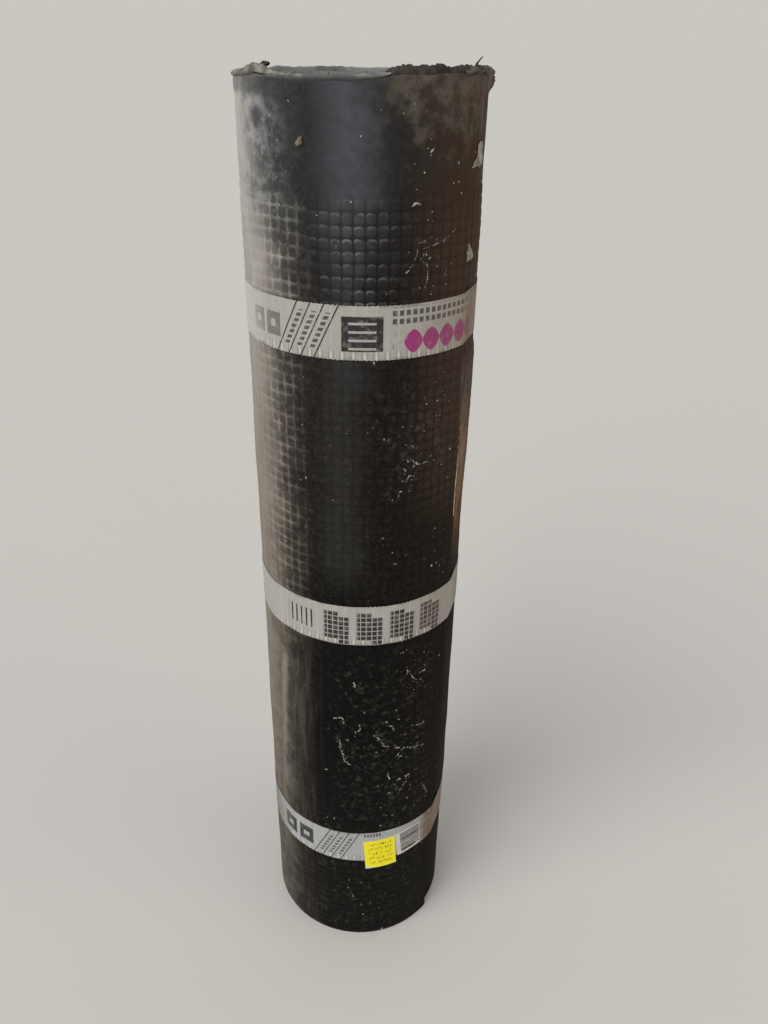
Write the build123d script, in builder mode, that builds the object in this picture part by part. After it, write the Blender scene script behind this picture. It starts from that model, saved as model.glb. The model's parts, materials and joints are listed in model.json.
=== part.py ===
from build123d import *
import os
from math import acos, cos, degrees, radians, sin

# A roll of bituminous roofing felt standing on its end, held by wrap bands.
# Lengths are in millimetres and angles in degrees. The origin is the centre of the bore at the foot,
# +Z runs up the roll, and angles are counted from +X towards +Y, so -90 is the front.

# Felt roll
sheet_width = 1000.0
roll_radius = 112.0
bore_radius = 40.0
sheet_thickness = 4.4
inner_end_angle = 130.0
free_end_angle = -33.0
inner_climb_angle = 20.0
outer_climb_angle = 60.0
turn_gap_width = 1.0
turn_gap_depth = 1.6
pressed_angle = 3.0

# Wrap bands
band_width = 48.0
band_thickness = 0.5
band_clearance = 0.1
upper_band_height = 805.5
middle_band_height = 495.5
lower_band_height = 164.0

# Stickers on the lower band
sticker_thickness = 0.3
sticker_clearance = 0.05
yellow_sticker_width = 39.0
yellow_sticker_length = 47.0
yellow_sticker_angle = -77.8
yellow_sticker_drop = 13.0
yellow_sticker_tilt = 3.5
bar_sticker_width = 35.0
bar_sticker_length = 38.0
bar_sticker_drop = 4.0
bar_sticker_tilt = 6.0
sticker_spacing = 1.2

# The wound sheet fills the ring between the bore and the outside with whole turns
turn_count = round((roll_radius - bore_radius) / sheet_thickness)
turn_pitch = (roll_radius - bore_radius) / turn_count
covered_sweep = (free_end_angle - inner_end_angle) % 360
open_sweep = 360 - covered_sweep - outer_climb_angle

# The bands lie on the outer turn, and the stickers lie on the bands
band_inner_radius = roll_radius + band_clearance
band_outer_radius = band_inner_radius + band_thickness
sticker_inner_radius = band_outer_radius + sticker_clearance
sticker_outer_radius = sticker_inner_radius + sticker_thickness

# The stickers sit side by side, each with its middle a little below the middle of the lower band
sticker_pitch = (yellow_sticker_width + bar_sticker_width) / 2 + sticker_spacing
bar_sticker_angle = yellow_sticker_angle + degrees(sticker_pitch / sticker_inner_radius)
yellow_sticker_height = lower_band_height - yellow_sticker_drop
bar_sticker_height = lower_band_height - bar_sticker_drop


def polar(radius, angle):
    """The point at a radius and an angle about the roll's axis."""
    return (radius * cos(radians(angle)), radius * sin(radians(angle)))


def outer_turn(radius, bridge_angle=0):
    """The outer turn's line: round to the free end, down by one thickness, round again and back up.

    It drops steeply at the free end, or along a straight bridge of the given angle. It climbs back slowly,
    over the place where the sheet's inner end lies under all the turns.
    """
    under_radius = radius - turn_pitch
    under_angle = free_end_angle + bridge_angle
    climb_start_angle = inner_end_angle - outer_climb_angle
    CenterArc((0, 0), radius, inner_end_angle, covered_sweep)
    Line(polar(radius, free_end_angle), polar(under_radius, under_angle))
    CenterArc((0, 0), under_radius, under_angle, open_sweep - bridge_angle)
    ThreePointArc(
        polar(under_radius, climb_start_angle),
        polar(radius - turn_pitch / 2, climb_start_angle + outer_climb_angle / 2),
        polar(radius, inner_end_angle),
    )


def bore_line():
    """The inside of the first turn, which climbs straight over the square edge of the sheet's inner end."""
    edge_top = polar(bore_radius + turn_pitch, inner_end_angle)
    CenterArc((0, 0), bore_radius, inner_end_angle, 360 - inner_climb_angle)
    Line(polar(bore_radius, inner_end_angle - inner_climb_angle), edge_top)
    Line(edge_top, polar(bore_radius, inner_end_angle))


def band_line(radius):
    """A band pulled tight round the roll, straight where it bridges the step of the free end."""
    outer_turn(radius, bridge_angle=degrees(acos((radius - turn_pitch) / radius)))


def section_plane(angle, height):
    """An upright plane through the axis, with its X outwards and its Y up."""
    return Plane(
        origin=(0, 0, height),
        x_dir=(cos(radians(angle)), sin(radians(angle)), 0),
        z_dir=(sin(radians(angle)), -cos(radians(angle)), 0),
    )


def gap_section(radius, inward):
    """The V between the rounded edges of two turns, with its point inside the roll."""
    Polygon(
        (radius - turn_gap_width / 2, 0),
        (radius, inward * turn_gap_depth),
        (radius + turn_gap_width / 2, 0),
        align=None,
    )


os.makedirs("parts", exist_ok=True)

# Felt roll: the wound sheet, with the gap between its turns open at both ends. The gap winds outwards:
# each turn of it runs round the axis, and then climbs straight to the next turn.
with BuildPart() as felt_roll:
    with BuildSketch():
        with BuildLine():
            outer_turn(roll_radius)
        make_face()
        with BuildLine():
            bore_line()
        make_face(mode=Mode.SUBTRACT)
    extrude(amount=sheet_width)
    for end_height, inward in ((0, 1), (sheet_width, -1)):
        for turn in range(1, turn_count):
            gap_radius = bore_radius + turn * turn_pitch
            gap_start = inner_end_angle
            gap_sweep = 360 - inner_climb_angle
            if turn == 1:
                gap_start += pressed_angle
                gap_sweep -= pressed_angle
            if turn == turn_count - 1:
                gap_sweep = covered_sweep - pressed_angle
            with BuildSketch(section_plane(gap_start, end_height)):
                gap_section(gap_radius, inward)
            revolve(axis=Axis.Z, revolution_arc=gap_sweep, mode=Mode.SUBTRACT)
            if turn < turn_count - 1:
                with BuildSketch(section_plane(inner_end_angle - inner_climb_angle, end_height)):
                    gap_section(gap_radius, inward)
                with BuildSketch(section_plane(inner_end_angle, end_height)):
                    gap_section(gap_radius + turn_pitch, inward)
                loft(ruled=True, mode=Mode.SUBTRACT)

felt_roll.part.label = "felt_roll"
export_step(felt_roll.part, "parts/felt_roll.step")

# Wrap bands: thin strips round the outer turn
band_heights = {
    "upper_band": upper_band_height,
    "middle_band": middle_band_height,
    "lower_band": lower_band_height,
}
for band_name, band_height in band_heights.items():
    with BuildPart() as wrap_band:
        with BuildSketch(Plane.XY.offset(band_height - band_width / 2)):
            with BuildLine():
                band_line(band_outer_radius)
            make_face()
            with BuildLine():
                band_line(band_inner_radius)
            make_face(mode=Mode.SUBTRACT)
        extrude(amount=band_width)
    wrap_band.part.label = band_name
    export_step(wrap_band.part, f"parts/{band_name}.step")

# Stickers: rectangles of thin sheet bent to the curve of the lower band
stickers = {
    "yellow_label": (
        yellow_sticker_width,
        yellow_sticker_length,
        yellow_sticker_angle,
        yellow_sticker_height,
        yellow_sticker_tilt,
    ),
    "barcode_label": (
        bar_sticker_width,
        bar_sticker_length,
        bar_sticker_angle,
        bar_sticker_height,
        bar_sticker_tilt,
    ),
}
for sticker_name, (width, length, angle, height, tilt) in stickers.items():
    facing = Plane(
        origin=(0, 0, height),
        x_dir=(-sin(radians(angle)), cos(radians(angle)), 0),
        z_dir=(cos(radians(angle)), sin(radians(angle)), 0),
    )
    with BuildPart() as sticker:
        with BuildSketch(Plane.XY.offset(height - length)):
            Circle(sticker_outer_radius)
            Circle(sticker_inner_radius, mode=Mode.SUBTRACT)
        extrude(amount=2 * length)
        with BuildSketch(facing):
            Rectangle(width, length, rotation=tilt)
        extrude(amount=2 * sticker_outer_radius, mode=Mode.INTERSECT)
    sticker.part.label = sticker_name
    export_step(sticker.part, f"parts/{sticker_name}.step")
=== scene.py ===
"""A roll of bituminous roofing felt on its end: wound sheet, wrap bands, stickers, torn film and dirt."""
import json
from math import cos, degrees, pi, radians, sin

import bpy
import numpy as np
from bpy.props import FloatProperty, FloatVectorProperty, IntProperty, PointerProperty
from mathutils import Matrix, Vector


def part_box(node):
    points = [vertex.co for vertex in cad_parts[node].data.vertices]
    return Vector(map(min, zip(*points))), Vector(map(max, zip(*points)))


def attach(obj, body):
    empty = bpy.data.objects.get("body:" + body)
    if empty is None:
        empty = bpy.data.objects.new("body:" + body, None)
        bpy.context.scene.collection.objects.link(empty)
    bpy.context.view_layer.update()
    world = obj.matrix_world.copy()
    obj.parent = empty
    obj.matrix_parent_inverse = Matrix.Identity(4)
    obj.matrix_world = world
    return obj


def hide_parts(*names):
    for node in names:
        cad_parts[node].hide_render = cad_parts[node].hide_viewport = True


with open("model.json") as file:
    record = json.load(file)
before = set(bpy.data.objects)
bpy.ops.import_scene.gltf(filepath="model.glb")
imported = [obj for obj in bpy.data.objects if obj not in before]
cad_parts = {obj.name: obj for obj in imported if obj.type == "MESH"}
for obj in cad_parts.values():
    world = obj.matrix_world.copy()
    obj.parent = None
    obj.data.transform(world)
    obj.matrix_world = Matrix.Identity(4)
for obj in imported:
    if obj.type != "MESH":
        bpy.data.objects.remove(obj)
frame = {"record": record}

bl_info = {
    "name": "Roofing Felt Roll",
    "version": (1, 0, 0),
    "blender": (4, 5, 0),
    "location": "3D View > Sidebar > Felt Roll",
    "description": "Finishes the packed model of a roll of roofing felt",
    "category": "Object",
}

# The wound sheet, with its sizes from the frame and its bearings as the CAD has them. Lengths are in metres
# and angles in degrees. A bearing is counted from the front, -Y, towards +X. A sweep runs along the spiral
# from the sheet's inner end in the bore to its free end outside.
roll_low, roll_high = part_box("felt_roll")
SHEET_WIDTH = roll_high.z
ROLL_RADIUS = -roll_low.x
TURN_PITCH = ROLL_RADIUS - roll_high.x
BORE_RADIUS = frame["record"]["mounts"][0]["dims"]["r_mm"] / 1000
TURN_COUNT = round((ROLL_RADIUS - BORE_RADIUS) / TURN_PITCH)
INNER_END_BEARING = 220.0
FREE_END_BEARING = 57.0
FIRST_CLIMB = 20.0
LAST_CLIMB = 60.0
SHEET_SWEEP = 360 * (TURN_COUNT - 1) + (FREE_END_BEARING - INNER_END_BEARING) % 360
BANDS = ("upper_band", "middle_band", "lower_band")

# The free end's line down the roll: heights, and how far the end lies past its mean bearing
FREE_END_HEIGHTS = (0.0, 0.15, 0.31, 0.42, 0.52, 0.59, 0.67, 0.72, 0.82, 1.0)
FREE_END_SHIFTS = (-5.5, -5.0, -1.0, -0.6, -0.6, -1.0, -1.0, -2.4, -3.0, -4.0)

# How far the outermost turn's film stands up above the head, by bearing
RIM_BEARINGS = (-180, -130, -95, -70, -45, -26, -6, 6, 16, 66, 80, 100, 130, 180)
RIM_RISES = (
    0.0034, 0.0034, 0.0010, 0.0014, 0.0028, 0.0030, 0.0038,
    0.0050, 0.0070, 0.0070, 0.0045, 0.0020, 0.0034, 0.0034,
)

# The roll is squeezed at its foot, up to a height: how far both sides pull in, how much further the right one
# does and less far the left one, and how far the front and back do
SQUEEZE_HEIGHT = 0.30
SIDE_SQUEEZE = 0.0022
RIGHT_SQUEEZE = 0.0010
FRONT_SQUEEZE = 0.0012

# The outside's long dents and short ripples, its swell below the upper wrap, and the crumples near the head
DENT_DEPTH = 0.0004
RIPPLE_DEPTH = 0.0002
SWELL_DEPTH = 0.0026
CRUMPLE_DEPTH = 0.0008

# The nubs lie in rows and columns below a smooth selvedge, whose face is at a share of their height. A nub's
# grid lines are closer at its sides.
SELVEDGE_FOOT = 0.9163
SELVEDGE_ROWS = 34
SELVEDGE_SHARE = 0.62
NUB_STEPS = (0.0, 0.16, 0.4, 0.6, 0.84)
NUB_WOBBLE = 0.00035

# The outermost turn's columns of nubs, and the rows of nubs down to the foot of each of its four heights
OUTER_NUBS = 73
HEAD_NUBS = 11
UPPER_NUBS = 41
LOWER_NUBS = 73
ALL_NUBS = 88

# The sheet's edges are rounded: how deep the rounding goes, and its points by inset and share of the
# thickness. The turns' edges lie below the roll's full height, by about this much in the mean.
EDGE_DEPTH = 0.0012
EDGE_INSETS = np.array([0.0003, 0.0, 0.0003])
EDGE_SHARES = np.array([0.82, 0.5, 0.2])
MEAN_CREST = 0.0012

# Near the free end, the length over which its columns close up, and how far it lifts in the mean
CLOSED_UP = 0.030
END_LIFT = 0.0004

# The inner turns' degrees from column to column, how much thinner than the outermost they are, and how
# uneven that is
TURN_STEP = 3.2
TURN_SLACK = 0.00012
TURN_UNEVEN = 0.00018

# Edges of the meshes that bend by more than this stay sharp
SHARP_ANGLE = 72.0

# The wraps' grid, how far they lie off the nubs, and how deep they press the sheet in
WRAP_COLUMNS = 560
WRAP_ROWS = 31
WRAP_GAP = 0.0001
PRESSED_DEPTH = 0.0004

# The print on the wraps repeats round the roll. ARC is the length of one degree of its outside.
ARC = radians(ROLL_RADIUS)
PRINT_REPEAT = 180 * ARC
PRINT_SOFT = 0.00025

# The stickers' grid, how far their two faces lie off the nubs, and their widths, lengths and bearings
STICKER_GRID = (40, 48)
STICKER_FACE = 0.00085
STICKER_BACK = 0.00055
YELLOW_SIZE = (0.039, 0.047)
YELLOW_BEARING = 12.2
BAR_SIZE = (0.035, 0.038)
BAR_BEARING = 31.7

# The torn film's grids and thicknesses, how far it lies above the head, and how round it folds over the rim
RAG_GRID = (130, 44)
FLAP_GRID = (110, 44)
CURL_GRID = (28, 22)
RAG_THICKNESS = 0.0006
FLAP_THICKNESS = 0.0007
RAG_REST = 0.0012
FOLD_RADIUS = 0.0016

# The twig as bearings, insets from the outside and heights above the head, and the pale thread along the free
# end as two heights and a number of points. Both are stalks of round sections.
TWIG_LINE = (
    (52.0, 0.010, 0.002),
    (53.5, 0.006, 0.006),
    (55.5, 0.004, 0.009),
    (55.0, 0.003, 0.013),
    (58.0, 0.001, 0.018),
)
TWIG_THICKNESS = 0.0045
THREAD_LINE = (0.600, 0.700, 20)
THREAD_SET_BACK = 0.5
THREAD_THICKNESS = 0.0013
STALK_STEPS = 24
STALK_SIDES = 8

# The chip as its length, width and turn, its bearing and height, and its thickness
CHIP_OVAL = np.array([[0.0078], [0.0052], [0.95]])
CHIP_PLACE = np.array([[-27.0, 0.9567]])
CHIP_THICKNESS = np.array([0.0032])

# A lump's rings, from its top down: how far out each lies, and its height as a share of the thickness
LUMP_RINGS = np.array([[0.62, 0.85], [1.0, 0.35], [0.86, -0.15]])
LUMP_SPOKES = 8

# Scratches as bearings and heights along each stroke
SCRATCHES = (
    ((26.8, 0.8748), (31.1, 0.8768), (37.0, 0.8796), (41.1, 0.8837), (44.1, 0.8877)),
    ((18.6, 0.8564), (20.2, 0.8602), (22.0, 0.8635), (23.5, 0.8724), (23.8, 0.8800)),
    ((25.0, 0.8652), (26.9, 0.8706)),
    ((25.7, 0.8651), (28.6, 0.8612), (29.1, 0.8536), (28.9, 0.8469), (27.3, 0.8401)),
    ((23.6, 0.8798), (27.4, 0.8809)),
    ((26.9, 0.6760), (30.6, 0.6751), (34.0, 0.6767)),
    ((21.3, 0.6827), (24.0, 0.6824), (25.8, 0.6771), (24.9, 0.6734)),
    ((21.3, 0.6593), (22.6, 0.6656), (26.5, 0.6633)),
    ((21.6, 0.4534), (24.4, 0.4571)),
    ((25.6, 0.4300), (29.6, 0.4171), (30.4, 0.4100)),
    ((34.4, 0.4195), (39.5, 0.4201)),
    ((-4.5, 0.4192), (-3.6, 0.4129)),
    ((-16.2, 0.3663), (-11.3, 0.3701), (-9.7, 0.3612)),
    ((-1.2, 0.3610), (-0.5, 0.3540), (-3.3, 0.3495), (-5.3, 0.3475)),
    ((-12.5, 0.3339), (-11.5, 0.3201), (-9.5, 0.3064), (-6.4, 0.2990)),
    ((14.6, 0.3628), (17.5, 0.3526), (19.4, 0.3480)),
    ((30.6, 0.3457), (37.0, 0.3426), (39.3, 0.3427)),
    ((7.5, 0.3443), (11.4, 0.3343), (13.9, 0.3261), (19.7, 0.3211), (25.5, 0.3166), (32.9, 0.3119),
     (38.8, 0.3081)),
    ((23.6, 0.3167), (21.0, 0.3067)),
    ((15.7, 0.2841), (17.0, 0.2731)),
    ((21.5, 0.2681), (30.3, 0.2717)),
    ((28.4, 0.2621), (21.8, 0.2449)),
    ((40.5, 0.2442), (47.3, 0.2147)),
)

# Clusters of fine specks as a bearing, a height, a spread of each and a count
CLUSTERS = (
    (0, 0.50, 24, 0.28, 60),
    (40, 0.94, 12, 0.03, 16),
    (32, 0.86, 8, 0.02, 24),
    (38, 0.71, 7, 0.025, 44),
    (22, 0.67, 4, 0.012, 26),
    (46, 0.55, 4, 0.02, 18),
    (30, 0.42, 7, 0.02, 26),
    (-9, 0.34, 4, 0.02, 20),
    (22, 0.32, 9, 0.016, 34),
    (27, 0.26, 7, 0.016, 24),
    (5, 0.20, 18, 0.012, 18),
    (5, 0.08, 20, 0.030, 30),
    (-43, 0.94, 5, 0.03, 26),
    (-36, 0.70, 5, 0.08, 20),
    (150, 0.50, 60, 0.28, 70),
)

# Single specks as a bearing and a height
SPECKS = (
    (15.5, 0.9783), (28.1, 0.9595), (26.9, 0.9525), (25.5, 0.9348), (22.2, 0.9224), (41.2, 0.9248),
    (46.7, 0.9159), (54.4, 0.9614), (32.4, 0.8426), (29.1, 0.8536), (10.0, 0.8395), (-19.9, 0.9017),
    (-5.3, 0.9134), (-47.5, 0.9596), (-38.1, 0.9557), (-41.0, 0.9141), (-39.6, 0.9780), (47.3, 0.6501),
    (15.3, 0.5827), (30.8, 0.3979), (43.3, 0.3887), (11.9, 0.2289), (42.0, 0.1890), (44.2, 0.1345),
    (-7.6, 0.1028),
)

# Pale flakes that stick to the film, as bearings and heights round each
FLAKE_SPOKES = 16
FLAKE_THICKNESS = 0.0009
FLAKES = (
    ((54.6, 0.8560), (62.0, 0.8544), (66.0, 0.8590), (61.0, 0.8665), (57.0, 0.8725), (54.8, 0.8644)),
    ((63.0, 0.9511), (63.0, 0.9465), (62.5, 0.9419), (59.5, 0.9374), (57.5, 0.9331), (65.5, 0.9325),
     (72.5, 0.9328), (73.0, 0.9389), (69.0, 0.9435), (71.0, 0.9496), (68.5, 0.9523)),
    ((19.6, 0.9088), (21.4, 0.9112), (24.2, 0.9100), (23.8, 0.9122), (21.4, 0.9128)),
)

# The camera, as the photograph was taken
CAMERA_PLACE = (0.0, -0.8416, 1.0355)
CAMERA_DIP = 29.027
CAMERA_TURN = -1.608
CAMERA_ROLL = 1.05

# The stage: how far the floor reaches, how wide the soft lamps are, in degrees, and their places and colours
FLOOR_REACH = 60.0
LAMP_WIDTH = 45.0
KEY_PLACE = (-1.3, -1.2, 1.5)
KEY_COLOUR = (1.0, 0.985, 0.96)
FILL_PLACE = (1.5, -0.6, 0.8)
FILL_COLOUR = (1.0, 0.88, 0.74)


def paint(code):
    """A colour written as red, green and blue in hexadecimal, as the linear values that a shader takes."""
    display = np.array([int(code[i:i + 2], 16) for i in (0, 2, 4)]) / 255
    linear = np.where(display <= 0.04045, display / 12.92, ((display + 0.055) / 1.055) ** 2.4)
    return (*linear.tolist(), 1.0)


def ease(low, high, x):
    """Rises smoothly from 0 at low to 1 at high: 3t squared less 2t cubed."""
    t = np.clip((x - low) / (high - low), 0, 1)
    return t * t * (3 - 2 * t)


def waves(seed, length, *places):
    """A gentle random field of about -1 to 1: the mean of sine waves with seeded directions and phases.

    The waves are about as long as length, in the unit of the places.
    """
    draw = np.random.default_rng(seed)
    count = 9
    usual_peak = 1.6
    total = 0
    for _ in range(count):
        direction = draw.normal(size=len(places))
        direction /= np.linalg.norm(direction)
        step = 2 * pi / (length * draw.uniform(0.6, 1.6))
        along = sum(d * p for d, p in zip(direction, places))
        total = total + np.sin(along * step + draw.uniform(0, 2 * pi))
    return total * (2 / count) ** 0.5 / usual_peak


def sheet_radius(sweep):
    """The radius of the sheet's inner face along the spiral.

    Each turn keeps its radius, and climbs by one turn over the place where the sheet's inner end lies.
    """
    turn = np.floor(sweep / 360)
    climb = FIRST_CLIMB + (LAST_CLIMB - FIRST_CLIMB) * turn / (TURN_COUNT - 2)
    return BORE_RADIUS + TURN_PITCH * (turn + ease(360 - climb, 360, sweep - 360 * turn))


def settle(points):
    """The roll's slight squeeze near its foot: below a height, the sides pull in towards the axis."""
    low = 1 - ease(0.0, SQUEEZE_HEIGHT, points[..., 2])
    side = points[..., 0] / ROLL_RADIUS
    squeezed = points.copy()
    squeezed[..., 0] -= low * (SIDE_SQUEEZE * side + RIGHT_SQUEEZE * side ** 2)
    squeezed[..., 1] -= low * FRONT_SQUEEZE * points[..., 1] / ROLL_RADIUS
    return squeezed


def upright(radius, bearing, height):
    """Points at a radius from the roll's axis, a bearing and a height."""
    direction = np.radians(bearing)
    places = np.broadcast_arrays(radius * np.sin(direction), -radius * np.cos(direction), height)
    return np.stack(places, -1)


def girth(bearing):
    """Two parts of a place on the roll's girth, on which the waves run round it without a seam."""
    direction = np.radians(bearing)
    return ROLL_RADIUS * np.sin(direction), ROLL_RADIUS * np.cos(direction)


def on_sheet(sweep, depth, height):
    """Points on the spiral: the radius is that of the sheet's inner face and the depth outwards from it."""
    return settle(upright(sheet_radius(sweep) + depth, INNER_END_BEARING + sweep, height))


def free_end_shift(height):
    """How far past its mean bearing the free end lies at a height, in degrees."""
    return np.interp(height, FREE_END_HEIGHTS, FREE_END_SHIFTS)


def exposed_sweep(bearing, height):
    """The sweep of what shows outside: the outer turn up to its free end, and one turn under past it."""
    past = (bearing - FREE_END_BEARING - free_end_shift(height) + 180) % 360 - 180
    sweep = SHEET_SWEEP + free_end_shift(height) + past
    return np.where(past > 0, sweep - 360, sweep)


def beside(bearing, first, last, soft):
    """1 for bearings from first to last, and smoothly 0 beyond them."""
    turned = (bearing + 180) % 360 - 180
    return ease(first - soft, first, turned) * (1 - ease(last, last + soft, turned))


def sway(bearing, height):
    """How far the outside stands out or in: dents, a swell below the upper wrap and crumpled film on top.

    Each is a depth times seeded waves and soft steps. The dents die out at both ends, the swell lies past the
    free end, and the crumples grow towards the head.
    """
    place = (*girth(bearing), height)
    fade = ease(0.0, 0.05, height) * (1 - ease(0.95, 1.0, height))
    dents = fade * (DENT_DEPTH * waves(3, 0.14, *place) + RIPPLE_DEPTH * waves(4, 0.05, *place))
    swell = SWELL_DEPTH * beside(bearing, 66, 100, 20) * ease(0.56, 0.68, height)
    swell = swell * (1 - ease(0.755, 0.780, height))
    crumpled = beside(bearing, 12, 78, 8) + 0.7 * beside(bearing, -80, -40, 8)
    folds = 1 + 0.6 * waves(17, 0.030, *place) + 0.4 * waves(18, 0.012, *place)
    crumples = CRUMPLE_DEPTH * crumpled * ease(0.955, 0.997, height) * folds
    return dents + swell + crumples


def rim_rise(bearing):
    """How far the outermost turn's film stands up above the head, unevenly and most so at the back."""
    turned = (bearing + 180) % 360 - 180
    place = girth(bearing)
    uneven = 0.6 * waves(20, 0.050, *place) + 0.5 * waves(26, 0.009, *place)
    rough = 0.07 + 0.15 * ease(90, 130, np.abs(turned))
    return np.interp(turned, RIM_BEARINGS, RIM_RISES) * (1 + rough * uneven)


def outside(bearing, height, proud, relief=False):
    """Points on the roll's outside, proud of the nubs' tops by a distance, or of the true relief of nubs."""
    sweep = exposed_sweep(bearing, height)
    depth = bpy.context.scene.felt_sheet.thickness
    if relief:
        depth = outer_depth(length_at(sweep), height)
    return on_sheet(sweep, depth + proud + sway(bearing, height), height)


def on_head(bearing, inset, proud):
    """Points over the roll's head, at an inset from its outside and proud of its turns' edges."""
    return upright(ROLL_RADIUS - inset, bearing, SHEET_WIDTH - MEAN_CREST + proud)


def grid_faces(columns, rows, round_columns=False, round_rows=False):
    """The four corners of each cell of a grid of points, numbered row by row in each column."""
    column = np.arange(columns if round_columns else columns - 1)[:, None]
    row = np.arange(rows if round_rows else rows - 1)[None, :]
    next_column = (column + 1) % columns
    next_row = (row + 1) % rows
    corners = (
        column * rows + row,
        next_column * rows + row,
        next_column * rows + next_row,
        column * rows + next_row,
    )
    return np.stack(corners, -1).reshape(-1, 4)


def unit_grid(columns, rows):
    """Two arrays that run from 0 to 1, one over a grid's columns and one over its rows."""
    return np.linspace(0, 1, columns)[:, None], np.linspace(0, 1, rows)[None, :]


def new_piece(name, points, faces, material, layout=None):
    """A mesh object at the origin, from its points and a list of arrays with one face in each row.

    A layout gives each point's place on a flat surface, as the UV map.
    """
    corners = np.concatenate([np.ravel(f) for f in faces]).astype(np.int32)
    counts = np.concatenate([np.full(len(f), f.shape[1]) for f in faces])
    mesh = bpy.data.meshes.new(name)
    mesh.vertices.add(len(points))
    mesh.vertices.foreach_set("co", np.asarray(points, np.float32).ravel())
    mesh.loops.add(len(corners))
    mesh.loops.foreach_set("vertex_index", corners)
    mesh.polygons.add(len(counts))
    mesh.polygons.foreach_set("loop_start", (np.cumsum(counts) - counts).astype(np.int32))
    if layout is not None:
        flat = np.asarray(layout, np.float32)[corners]
        mesh.uv_layers.new(name="sheet").data.foreach_set("uv", flat.ravel())
    mesh.update(calc_edges=True)
    mesh.validate()
    mesh.shade_smooth()
    mesh.set_sharp_from_angle(angle=radians(SHARP_ANGLE))
    mesh.materials.append(material)
    piece = bpy.data.objects.new(name, mesh)
    bpy.context.scene.collection.objects.link(piece)
    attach(piece, "root")
    return piece


def slab(name, top, bottom, material, layout=None):
    """A closed thin piece between two grids of points of one size, of which the first is the outer one."""
    columns, rows = top.shape[:2]
    count = columns * rows
    number = np.arange(count).reshape(columns, rows)
    rim = np.concatenate([number[:-1, 0], number[-1, :-1], number[:0:-1, -1], number[0, :0:-1]])
    following = np.roll(rim, -1)
    face = grid_faces(columns, rows)
    wall = np.stack([rim, rim + count, following + count, following], -1)
    points = np.concatenate([top.reshape(-1, 3), bottom.reshape(-1, 3)])
    if layout is not None:
        layout = np.concatenate([layout.reshape(-1, 2)] * 2)
    return new_piece(name, points, [face, face[:, ::-1] + count, wall], material, layout)


def math_node(operation, reflected=False):
    """A method that adds a Math node of an operation, with its values in the other order where reflected."""
    def method(self, *others):
        values = (*others, self) if reflected else (self, *others)
        return self.shade.maths(operation, *values)
    return method


class Value:
    """One output of a shader's node, on which + - * / ** and the calls below add Math nodes.

    part is what is left over the whole number below, and whole is that number. least and most are the smaller
    and the larger of two.
    """
    __add__ = math_node("ADD")
    __radd__ = math_node("ADD", reflected=True)
    __sub__ = math_node("SUBTRACT")
    __rsub__ = math_node("SUBTRACT", reflected=True)
    __mul__ = math_node("MULTIPLY")
    __rmul__ = math_node("MULTIPLY", reflected=True)
    __truediv__ = math_node("DIVIDE")
    __pow__ = math_node("POWER")
    __abs__ = math_node("ABSOLUTE")
    part = math_node("FRACT")
    whole = math_node("FLOOR")
    least = math_node("MINIMUM")
    most = math_node("MAXIMUM")

    def __init__(self, shade, socket):
        self.shade = shade
        self.socket = socket

    def bell(self, middle, width):
        """1 at a middle, and softly towards 0 within about two widths of it."""
        away = (self - middle) / width
        return self.shade.maths("EXPONENT", 0 - away * away)

    def rise(self, low, high):
        """Goes smoothly from 0 at low to 1 at high."""
        inputs = {"Value": self, "From Min": low, "From Max": high}
        return self.shade.read("ShaderNodeMapRange", {"interpolation_type": "SMOOTHSTEP"}, inputs)

    def between(self, low, high, soft):
        """1 from low to high, with soft edges of a width."""
        return self.rise(low - soft, low) * (1 - self.rise(high, high + soft))


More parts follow.
